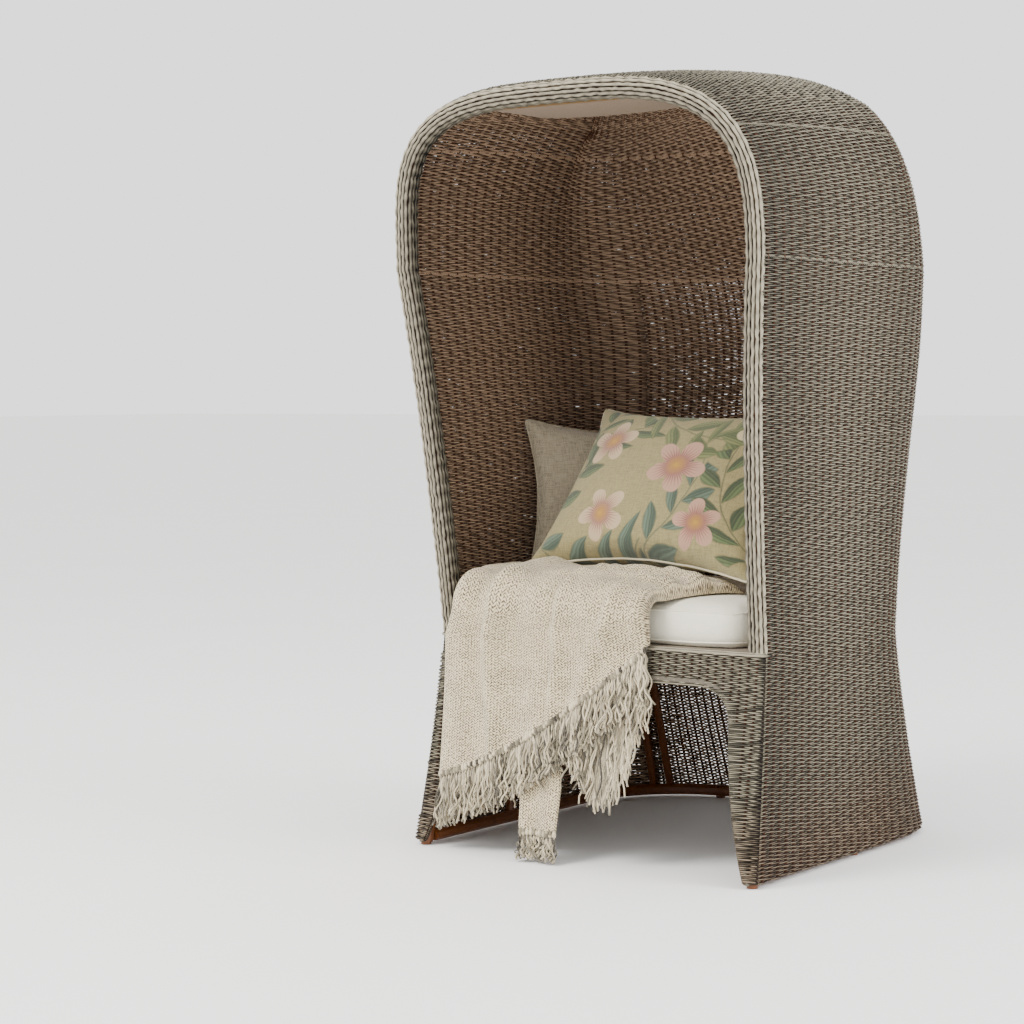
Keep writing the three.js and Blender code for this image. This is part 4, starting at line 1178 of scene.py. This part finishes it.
class BEACHCHAIR_OT_border(bpy.types.Operator):
    """Bind the border round the open front"""

    bl_idname = "beach_chair.border"
    bl_label = "Bind Border"

    def execute(self, context):
        path = hoop_path(context.scene.beach_chair.border_pitch / 4)
        along = unit(np.gradient(path, axis=0))
        across = unit(np.array([0, 1.0, 0]) - along * along[:, 1:2])
        outward = np.cross(across, along)
        beat = np.cos(np.arange(len(path)) * math.pi / 2)
        places, outs = rounded_square(HOOP_INSET - BORDER_RADIUS - 0.0008, BORDER_CORNER, 15, 0.5)
        # The outer side is left out, since the walls' rows cover it.
        shown = (places[:, 0] < 0.007) | (places[:, 1] < -0.0085)
        runs, scales, depths = [], [], []
        chance = np.random.default_rng(41)
        for place, out in zip(places[shown], outs[shown]):
            lift = -0.0006 * beat + chance.normal(0, 0.0003, len(path))
            slide = chance.normal(0, 0.0004, len(path))
            a = place[0] + out[0] * lift - out[1] * slide
            b = place[1] + out[1] * lift + out[0] * slide
            runs.append(path + outward * a[:, None] + across * b[:, None])
            scales.append((0.88 - 0.09 * beat) * chance.normal(1, 0.05, len(path)))
            # A strand's depth follows its lift with the beat, so it takes painted shade where it
            # dips in; its facing is measured from the border's middle, so its flanks take painted
            # shade too.
            depths.append(0.25 - 0.5 * beat)
        centres = np.tile(np.repeat(path, 6, axis=0), (len(runs), 1))
        settings = {"scales": scales, "seed": 43, "depths": depths, "outside": {"centres": centres}}
        woven("border_weft", runs, BORDER_RADIUS, 6, border_wicker(), "rim_border", **settings)
        core = path[::2] - outward[::2] * 0.003
        # The core is coloured dark as painted shade between the border's strands.
        woven("border_core", [core], BORDER_CORE_RADIUS, 10, dark_wicker(), seed=44)
        return {"FINISHED"}


def rounded_plan(a, b, power):
    """A unit square drawn out to a rounded outline."""
    reach = np.maximum(np.abs(a), np.abs(b))
    length = (np.abs(a) ** power + np.abs(b) ** power) ** (1 / power)
    share = reach / np.maximum(length, 1e-9)
    return a * share, b * share


def cushion_plan(a, b, inset):
    """Places x and y of the seat cushion's outline, squarer in front than at the back."""
    plan_a, plan_b = np.where(b > 0, rounded_plan(a, b, BACK_PLAN), rounded_plan(a, b, FRONT_PLAN))
    x = plan_a * (CUSHION_HALF_WIDTH - inset - CUSHION_DRAW * (1 - b * b))
    y = CUSHION_MIDDLE_Y + plan_b * (CUSHION_HALF_DEPTH - inset - CUSHION_DRAW * (1 - a * a))
    return x, y + SHIFT_Y


def cushion_top(reach):
    return CUSHION_THICKNESS + CUSHION_CROWN * (1 - reach * reach) - CUSHION_FALL * reach**8


def cushion_height(x, y):
    """Height of the seat cushion's top at a place in plan, before the shift into the frame."""
    across = np.abs(x) / (CUSHION_HALF_WIDTH - CUSHION_ROUNDING)
    along = np.abs(y - CUSHION_MIDDLE_Y) / (CUSHION_HALF_DEPTH - CUSHION_ROUNDING)
    return SEAT_Z + cushion_top(np.minimum(1, np.maximum(across, along)))


def mapped_box(name, cuts, place):
    """A closed box of many faces, shaped by a function of its places from -1 to 1."""
    form = bmesh.new()
    bmesh.ops.create_cube(form, size=2)
    bmesh.ops.subdivide_edges(form, edges=form.edges, cuts=cuts, use_grid_fill=True)
    bmesh.ops.recalc_face_normals(form, faces=form.faces)
    mesh = mesh_of(form, name)
    set_places(mesh, place(*mesh_places(mesh).T))
    return add_piece(name, mesh)


def settle_modifiers(piece):
    """Applies a piece's modifiers to its mesh."""
    bpy.context.view_layer.update()
    graph = bpy.context.evaluated_depsgraph_get()
    mesh = bpy.data.meshes.new_from_object(piece.evaluated_get(graph))
    mesh.name = piece.name
    piece.modifiers.clear()
    piece.data = mesh
    mesh.shade_smooth()


def smooth(mesh, times, factor):
    """Smooths a mesh and leaves its open edge where it is."""
    form = bmesh.new()
    form.from_mesh(mesh)
    verts = [v for v in form.verts if not v.is_boundary]
    axes = {"use_axis_x": True, "use_axis_y": True, "use_axis_z": True}
    for _ in range(times):
        bmesh.ops.smooth_vert(form, verts=verts, factor=factor, **axes)
    form.to_mesh(mesh)
    form.free()


def swell(piece, voxel, pressure, spare, cap, seed):
    """Fills a cover: its cloth has some spare length and is blown up a little, then it is smoothed.
    No place moves further than the cap."""
    remesh = piece.modifiers.new("even_mesh", "REMESH")
    remesh.mode = "VOXEL"
    remesh.voxel_size = voxel
    settle_modifiers(piece)
    before = mesh_places(piece.data)
    chance = np.random.default_rng(seed)
    set_places(piece.data, before + chance.normal(0, 0.0003, before.shape))
    cloth = piece.modifiers.new("cover", "CLOTH")
    settings = cloth.settings
    settings.quality = 5
    settings.mass = 0.2
    settings.tension_stiffness = settings.compression_stiffness = 12
    settings.shear_stiffness = 4
    settings.bending_stiffness = 0.4
    settings.shrink_min = -spare
    settings.use_pressure = True
    settings.uniform_pressure_force = pressure
    settings.effector_weights.gravity = 0
    cloth.collision_settings.use_collision = False
    cloth.collision_settings.use_self_collision = False
    cloth.point_cache.frame_start = 1
    cloth.point_cache.frame_end = CLOTH_FRAMES
    for step in range(1, CLOTH_FRAMES + 1):
        bpy.context.scene.frame_set(step)
    settle_modifiers(piece)
    bpy.context.scene.frame_set(1)
    moved = mesh_places(piece.data) - before
    length = np.linalg.norm(moved, axis=1, keepdims=True)
    moved *= np.minimum(1, cap / np.maximum(length, 1e-9))
    set_places(piece.data, before + moved)
    smooth(piece.data, 2, 0.4)
    piece.data.shade_smooth()


def soften(piece):
    rounder = piece.modifiers.new("rounding", "SUBSURF")
    rounder.levels = rounder.render_levels = 1


def on_surface(piece, points, out):
    """Moves points onto the nearest place of a piece's surface, and out from it a little."""
    moved = []
    for point in points:
        found, place, normal, _ = piece.closest_point_on_mesh(Vector(point))
        if not found:
            raise RuntimeError(f"{piece.name} has no surface near {point}")
        moved.append(place + normal * out)
    return np.array(moved)


def sew_piping(name, runs, radius, look, slot, seed, cloth_at):
    """Closed piping along the runs, which keeps the places that cloth_at gives for its own."""
    piping = strands(name, runs, radius, 8, closed=True, seed=seed)
    write_cloth(piping, cloth_at(mesh_places(piping.data)))
    piping.data.materials.append(look)
    finish_piece(piping, slot)


class BEACHCHAIR_OT_seat_cushion(bpy.types.Operator):
    """Sew and fill the seat cushion"""

    bl_idname = "beach_chair.seat_cushion"
    bl_label = "Make Seat Cushion"

    def execute(self, context):
        def place(a, b, c):
            reach = np.maximum(np.abs(a), np.abs(b))
            x, y = cushion_plan(a, b, 0.013 * c**4 * reach + 0.004)
            z = mix(SEAT_Z, SEAT_Z + cushion_top(reach) - 0.005, (c + 1) / 2)
            return np.stack([x, y, z], -1)

        piece = mapped_box("seat_cushion_filled", 23, place)
        swell(piece, 0.0075, 3.0, 0.03, 0.007, 51)
        places = mesh_places(piece.data)
        places[:, 2] = np.maximum(places[:, 2], SEAT_Z)
        set_places(piece.data, places)
        x, y, z = places.T
        write_cloth(piece, np.stack([x, y + z, z], 1))
        soften(piece)
        look = cloth_material("cushion_cotton", "d9d2bb", "faf5e1", 0.0009, 0.3, 0.9, 0.0004)[0]
        piece.data.materials.append(look)
        finish_piece(piece, "cushion_cotton", "seat_cushion")

        turn = np.linspace(0, math.tau, 240, endpoint=False)
        a, b = np.cos(turn), np.sin(turn)
        reach = np.maximum(np.abs(a), np.abs(b))
        edges = []
        for z, inset in ((SEAT_Z + 0.004, 0.008), (SEAT_Z + CUSHION_THICKNESS - 0.013, 0.004)):
            x, y = cushion_plan(a / reach, b / reach, inset)
            edges.append(on_surface(piece, np.stack([x, y, z + 0 * x], -1), 0.0002))
        name = "seat_cushion_seams"
        sew_piping(name, edges, SEAM_RADIUS, look, "cushion_cotton", 52, lambda places: places)
        return {"FINISHED"}


def pillow_turn(size):
    """The turns of a scatter cushion: in its plane, up from lying flat, and round to a side."""
    turns = [Matrix.Rotation(math.radians(size[key]), 3, axis) for key, axis in PILLOW_TURNS]
    return np.array(turns[0] @ turns[1] @ turns[2])


def pillow_places(size, a, b, c, fill, draw):
    """A scatter cushion in its own frame: full in the middle, thin at the seams, with its sides
    drawn in between the corners."""
    flat = np.clip((1 - a**4) * (1 - b**4), 0, 1) ** 0.6
    seam = np.clip((1 - a * a) * (1 - b * b), 0, 1) ** 0.35
    x = a * (size["width"] / 2 - draw * (1 - b * b))
    y = b * (size["height"] / 2 - draw * (1 - a * a))
    z = c * (PILLOW_SEAM + (size["thickness"] * fill - PILLOW_SEAM) * flat * seam) / 2
    return np.stack([x, y, z], -1)


def make_pillow(name, size, node, look, slot, seed, piping_look):
    """A filled scatter cushion with its lowest corner as high as the node's, and its piping."""
    turn = pillow_turn(size)
    draw = size["draw"]
    a, b = (side.ravel() for side in np.meshgrid(*[np.linspace(-1, 1, 11)] * 2))
    faces = [pillow_places(size, a, b, np.full(a.size, c), 1, draw) @ turn.T for c in (-1.0, 1.0)]
    lowest = min(face[:, 2].min() for face in faces)
    centre = np.array([size["x"], size["y"] + SHIFT_Y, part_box(node)[0][2] - lowest])

    def place(a, b, c):
        return pillow_places(size, a, b, c, 0.93, draw + 0.003) @ turn.T + centre

    piece = mapped_box(name, 31, place)
    swell(piece, 0.005, PILLOW_PRESSURE, PILLOW_SPARE, size["cap"], seed)

    def cloth_at(places):
        return (places - centre) @ turn

    write_cloth(piece, cloth_at(mesh_places(piece.data)))
    soften(piece)
    piece.data.materials.append(look)
    finish_piece(piece, slot, node)
    s, ones = np.linspace(-1, 1, 60, endpoint=False), np.ones(60)
    a = np.concatenate([s, ones, -s, -ones]) * 1.02
    b = np.concatenate([-ones, s, ones, -s]) * 1.02
    ring = on_surface(piece, pillow_places(size, a, b, 0 * a, 1, draw) @ turn.T + centre, 0.0012)
    ring = (ring + np.roll(ring, 1, 0) + np.roll(ring, -1, 0)) / 3
    name += "_piping"
    sew_piping(name, [ring], PILLOW_PIPING_RADIUS, piping_look, slot, seed + 1, cloth_at)


class BEACHCHAIR_OT_scatter_cushions(bpy.types.Operator):
    """Sew and fill the two scatter cushions"""

    bl_idname = "beach_chair.scatter_cushions"
    bl_label = "Make Scatter Cushions"

    def execute(self, context):
        look = cloth_material("linen_taupe", "453d2f", "a4987f", 0.0014, 0.8, 0.95, 0.0008)[0]
        node = "scatter_cushion_plain"
        make_pillow("linen_cushion", PLAIN_PILLOW, node, look, "linen_taupe", 61, look)
        piping = cloth_material("piping_cotton", "a79c80", "cfc5a6", 0.0012)[0]
        look, node = print_material(), "scatter_cushion_print"
        make_pillow("print_cushion", PRINT_PILLOW, node, look, "printed_linen", 71, piping)
        return {"FINISHED"}


class BEACHCHAIR_OT_lining(bpy.types.Operator):
    """Fit the canvas-covered pad under the hood's front"""

    bl_idname = "beach_chair.lining"
    bl_label = "Fit Lining"

    def execute(self, context):
        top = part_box("hood_lining")[1][2] - 0.001

        def place(a, b, c):
            x = a * (LINING_HALF_WIDTH - 0.004)
            back = (b + 1) / 2
            y = TOP_FRONT_Y + RIM_SIZE + GAP + 0.006 + (LINING_DEPTH - 0.004) * back
            under = ARCH_TOP_Z - RIM_SIZE - 0.006 * (1 - a * a) * back
            from_peak = (y - ROOF_PEAK_Y) / (ROOF_PEAK_Y - TOP_FRONT_Y)
            share = np.clip(np.abs(x) / (SHOULDER_HALF_WIDTH - WALL), 0, 1)
            rise = (1 - share**ARCH_POWER) ** (1 / ARCH_POWER)
            roof = SHOULDER_Z + (ARCH_TOP_Z - WALL - SHOULDER_Z) * rise
            roof = roof + ROOF_RISE * rise * rise * (1 - from_peak**2) - 0.005
            z = mix(under + 0.001, np.minimum(roof, top), (c + 1) / 2)
            return np.stack([x, y + SHIFT_Y, z], -1)

        piece = mapped_box("lining_pad", 15, place)
        soften(piece)
        write_cloth(piece, mesh_places(piece.data))
        look = cloth_material("lining_canvas", "4e3815", "7e5c2a", 0.0012, 0.3, 0.95, 0.0005)[0]
        piece.data.materials.append(look)
        finish_piece(piece, "lining_canvas", "hood_lining")
        return {"FINISHED"}


def bulge(values, middle, width):
    """A smooth hump of height 1 at the middle."""
    return np.exp(-(((values - middle) / width) ** 2))


def step_up(values, start, end):
    """Rises evenly from 0 at start to 1 at end."""
    return np.clip((values - start) / (end - start), 0, 1)


def fold_share(across):
    return (1 + np.sin(math.tau * THROW_FOLDS * across + 2 * np.sin(math.pi * across))) / 2


def throw_laps(across, run):
    total = np.zeros_like(across)
    for middle, height, fade in THROW_LAPS:
        past = across - middle - 0.02 * np.sin(run * 5 + middle * 9)
        total = total + height / (1 + np.exp(-past / 0.007)) * np.exp(-np.clip(past, 0, 1) / fade)
    return total * step_up(run, 0, 0.12)


def throw_drop(across):
    """How far the throw hangs below the bend."""
    return mix(*THROW_DROPS, eased(across, 0.4, 1.4))


def throw_places(across, run):
    """Places of the throw's upper face: run 0 is its rear edge on the seat, SEAT_RUN the start of
    the bend over the cushion's front edge, BEND_RUN the end of the bend and 1 its slanting hem."""
    edge = np.minimum(step_up(across, 0, 0.035), step_up(across, 1, 0.95))
    edge = np.sqrt(1 - (1 - edge) ** 2)
    rear = np.sqrt(1 - (1 - step_up(run, 0, 0.06)) ** 2)
    bulk = mix(*THROW_BULKS, across) + 0.008 * fold_share(across)
    y_seat = mix(THROW_REAR_Y, THROW_BEND_Y, step_up(run, 0, SEAT_RUN))
    back = (y_seat - THROW_BEND_Y) / (THROW_REAR_Y - THROW_BEND_Y)
    x_seat = mix(THROW_LEFT_X, mix(THROW_RIGHT_X, THROW_REAR_RIGHT_X, back), across)
    laps = throw_laps(across, run) * edge
    lift = bulk * edge * rear + 0.004 + laps
    creases = np.zeros_like(across)
    for middle, slope, height, width, start in THROW_CREASES:
        hump = bulge(y_seat - slope * across, middle, width)
        creases = creases + height * hump * step_up(across, start, start + 0.25)
    z_seat = cushion_height(x_seat, y_seat) + THROW_CLEARANCE + lift + creases * edge
    turn = step_up(run, SEAT_RUN, BEND_RUN) * math.pi / 2
    reach = THROW_BEND + lift
    drop = step_up(run, BEND_RUN, 1)
    left = mix(THROW_LEFT_X, THROW_HANG_X, step_up(drop, 0, 0.17))
    z_hang = THROW_BEND_Z - drop * throw_drop(across)
    thick = mix(bulk * edge, 0.009 * edge, drop) + 0.004
    swing = 0.006 * fold_share(across) * drop + laps * (1 - 0.4 * drop)
    for middle, slant, height, width in THROW_FOLDS_HANGING:
        hump = bulge(across - slant * drop, middle, width)
        swing = swing + height * hump * np.sqrt(step_up(drop, 0, 0.25))
    seat = np.stack([x_seat, y_seat, z_seat], -1)
    bent = [mix(THROW_LEFT_X, THROW_RIGHT_X, across), THROW_BEND_Y - reach * np.sin(turn)]
    bent = np.stack([*bent, THROW_BEND_Z + reach * np.cos(turn)], -1)
    hung = [mix(left, THROW_RIGHT_X, across), front_y(z_hang) - 0.004 - swing - thick, z_hang]
    hung = np.stack(hung, -1)
    run = run[:, None]
    places = np.where(run <= SEAT_RUN, seat, np.where(run <= BEND_RUN, bent, hung))
    return places + np.array([0, SHIFT_Y, 0])


def throw_flat(across, run):
    """Where a place of the throw lies on its cloth."""
    seat = 0.26 * step_up(run, 0, SEAT_RUN)
    bent = 0.08 * step_up(run, SEAT_RUN, BEND_RUN)
    hung = throw_drop(across) * step_up(run, BEND_RUN, 1)
    return np.stack([across * 0.46, seat + bent + hung, 0 * run], -1)


def tail_places(across, down):
    """Places of the throw's tail, which hangs from under the fringe."""
    z = mix(*TAIL_HEIGHTS, down)
    swing = 0.015 * step_up(down, 0.72, 1)
    fold = 0.004 * np.sin(across * 9 + 1) * down
    y = front_y(z) - 0.006 - 0.008 * step_up(down, 0.28, 0.14) - swing - fold
    x = mix(*TAIL_MIDDLES, down) + (2 * across - 1) * mix(*TAIL_HALF_WIDTHS, down)
    return np.stack([x, y + SHIFT_Y, z], -1)


def tail_flat(across, down):
    return np.stack([across * 0.1, down * 0.27, 0 * down], -1)


def cloth_sheet(name, columns, rows, places_at, flat_at, look):
    """A thin sheet over a grid of places, with its thickness, and its area."""
    form = bmesh.new()
    bmesh.ops.create_grid(form, x_segments=columns, y_segments=rows, size=1)
    mesh = mesh_of(form, name)
    across, run, _ = ((mesh_places(mesh) + 1) / 2).T
    set_places(mesh, places_at(across, run))
    smooth(mesh, 3, 0.5)
    piece = add_piece(name, mesh)
    write_cloth(piece, flat_at(across, run))
    area = sum(face.area for face in mesh.polygons)
    wall = piece.modifiers.new("thickness", "SOLIDIFY")
    wall.thickness = KNIT_THICKNESS
    wall.offset = 0
    mesh.materials.append(look)
    return piece, area


def tassels(name, roots, lengths, spread, seed, strands_each):
    """Knotted tassels: from each root a knot, and below it loose wavy ends."""
    chance = np.random.default_rng(seed)
    knots, ends = [], []
    t = np.linspace(0, 1, 13)
    swing = 0.0055 * t**0.6
    for root, length in zip(roots, lengths):
        low = root - np.array([0, 0, KNOT_DROP])
        knots.append(mix(root + np.array([0, 0, 0.003]), low, np.linspace(0, 1, 5)[:, None]))
        for _ in range(strands_each):
            reach = length * chance.uniform(0.72, 1.02)
            phase, wave = chance.uniform(0, math.tau, 2)
            turns = t * chance.uniform(1.2, 2.4) * math.tau
            sway = chance.normal(0, 1, 2) * spread
            x = sway[0] * t + swing * np.sin(turns + phase)
            y = -abs(sway[1]) * t * 1.3 + swing * 0.7 * np.sin(turns + wave)
            z = low[2] - reach * t
            y = np.minimum(low[1] + y, front_y(z) + SHIFT_Y - 0.0045)
            ends.append(np.stack([low[0] + x, y, np.maximum(z, 0.003)], -1))
    scales = [KNOT_SCALES] * len(knots)
    knot = strands(name + "_knots", knots, KNOT_RADIUS, 6, scales, seed=seed)
    yarn = strands(name + "_ends", ends, YARN_RADIUS, 4, seed=seed + 1)
    for piece in (knot, yarn):
        piece.data.materials.append(shared(yarn_material))
        finish_piece(piece, "knit_throw")
    return [knot, yarn]


class BEACHCHAIR_OT_throw(bpy.types.Operator):
    """Drape the knitted throw over the seat and knot its fringe"""

    bl_idname = "beach_chair.throw"
    bl_label = "Drape Throw"

    def execute(self, context):
        look = knit_material()
        body, area = cloth_sheet("knit_throw_body", 150, 190, throw_places, throw_flat, look)
        finish_piece(body, "knit_throw", "throw")
        across = np.linspace(0.005, 0.995, 400)
        run = run_lengths(throw_places(across, np.ones(400)))
        at = np.interp(np.arange(0.003, run[-1], FRINGE_PITCH), run, across)
        roots = throw_places(at, np.ones(len(at))) + np.array([0, 0, 0.002])
        fringe = tassels("fringe", roots, np.full(len(at), 0.100), 0.009, 81, 7)
        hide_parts("throw_fringe")
        extra = 0.155 * bulge(at, 0.84, 0.14)
        under = extra > 0.025
        extra = extra[under]
        low = roots[under] + np.array([0, 0.004, 0]) - np.array([0, 0, 0.35]) * extra[:, None]
        fringe += tassels("under_fringe", low, 0.090 + 0.65 * extra, 0.009, 83, 7)

        tail, area = cloth_sheet("knit_throw_tail", 24, 60, tail_places, tail_flat, look)
        finish_piece(tail, "knit_throw")
        roots = tail_places(np.linspace(0.04, 0.96, 12), np.ones(12))
        ends = tassels("tail", roots, np.full(12, 0.045), 0.006, 91, 6)
        return {"FINISHED"}


class BEACHCHAIR_OT_finishes(bpy.types.Operator):
    """Give the frame's poles and the other kept pieces their finishes"""

    bl_idname = "beach_chair.finishes"
    bl_label = "Finish Frame"

    def execute(self, context):
        pole = shared(pole_material)
        looks = {
            "arch_cane": plain_material("washed_cane", "5f584b", 0.8),
            "seat_deck": plain_material("deck_wicker", "7d7264"),
        }
        for name, node in NODES.items():
            if node.hide_render:
                continue
            look = looks.get(name, pole)
            if not node.material_slots:
                node.data.materials.append(look)
            for slot in node.material_slots:
                slot.material = look
        return {"FINISHED"}


def camera_matrix():
    a, e, r = CAMERA_AZIMUTH, CAMERA_PITCH, CAMERA_ROLL
    forward = Vector((-math.sin(a) * math.cos(e), math.cos(a) * math.cos(e), -math.sin(e)))
    right = Vector((math.cos(a), math.sin(a), 0))
    up = right.cross(forward)
    turned_right = right * math.cos(r) - up * math.sin(r)
    turned_up = right * math.sin(r) + up * math.cos(r)
    turn = Matrix((turned_right, turned_up, -forward)).transposed().to_4x4()
    return Matrix.Translation(CAMERA_PLACE) @ turn


def area_light(name, place, aim, power, colour):
    data = bpy.data.lights.new(name, "AREA")
    data.shape = "DISK"
    data.size = LAMP_SIZE
    data.energy = power
    data.color = colour
    lamp = bpy.data.objects.new(name, data)
    lamp.location = place
    lamp.rotation_euler = (Vector(aim) - Vector(place)).to_track_quat("-Z", "Y").to_euler()
    bpy.context.scene.collection.objects.link(lamp)


class BEACHCHAIR_OT_stage(bpy.types.Operator):
    """Set up the floor, the studio light and the camera"""

    bl_idname = "beach_chair.stage"
    bl_label = "Set Stage"

    def execute(self, context):
        scene = context.scene
        form = bmesh.new()
        bmesh.ops.create_grid(form, x_segments=1, y_segments=1, size=FLOOR_HALF_SIZE)
        floor = add_piece("floor", mesh_of(form, "floor"))
        floor.data.materials.append(plain_material("pale_floor", "f4f3f1", 0.9, 0.02, 2.0))
        world = bpy.data.worlds.new("studio")
        world.use_nodes = True
        background = world.node_tree.nodes["Background"]
        background.inputs["Color"].default_value = (1, 1, 1, 1)
        background.inputs["Strength"].default_value = WORLD_STRENGTH
        scene.world = world
        area_light("key", (-1.6, -3.6, 4.2), (0, 0, 0.6), 300, (1, 0.98, 0.94))
        area_light("side", (4.5, 0.6, 2.6), (0, 0, 0.7), 190, (0.97, 0.98, 1))
        data = bpy.data.cameras.new("camera")
        data.lens = CAMERA_LENS
        data.sensor_width = 36
        camera = bpy.data.objects.new("camera", data)
        camera.matrix_world = camera_matrix()
        scene.collection.objects.link(camera)
        scene.camera = camera
        return {"FINISHED"}


class BEACHCHAIR_PT_panel(bpy.types.Panel):
    """The chair's pieces and sizes"""

    bl_idname = "BEACHCHAIR_PT_panel"
    bl_label = "Beach Chair"
    bl_space_type = "VIEW_3D"
    bl_region_type = "UI"
    bl_category = "Beach Chair"

    def draw(self, context):
        props = context.scene.beach_chair
        for name in props.bl_rna.properties.keys():
            if name not in {"rna_type", "name"}:
                self.layout.prop(props, name)
        for operator in STEPS:
            self.layout.operator(operator.bl_idname)


STEPS = (
    BEACHCHAIR_OT_stage,
    BEACHCHAIR_OT_walls,
    BEACHCHAIR_OT_hood,
    BEACHCHAIR_OT_stakes,
    BEACHCHAIR_OT_rings,
    BEACHCHAIR_OT_apron,
    BEACHCHAIR_OT_border,
    BEACHCHAIR_OT_lining,
    BEACHCHAIR_OT_seat_cushion,
    BEACHCHAIR_OT_scatter_cushions,
    BEACHCHAIR_OT_throw,
    BEACHCHAIR_OT_finishes,
)
CLASSES = (BeachChairProperties, *STEPS, BEACHCHAIR_PT_panel)


def register():
    for cls in CLASSES:
        bpy.utils.register_class(cls)
    bpy.types.Scene.beach_chair = bpy.props.PointerProperty(type=BeachChairProperties)


def unregister():
    del bpy.types.Scene.beach_chair
    for cls in reversed(CLASSES):
        bpy.utils.unregister_class(cls)


def main():
    register()
    for operator in STEPS:
        group, name = operator.bl_idname.split(".")
        getattr(getattr(bpy.ops, group), name)()


if __name__ == "__main__":
    main()
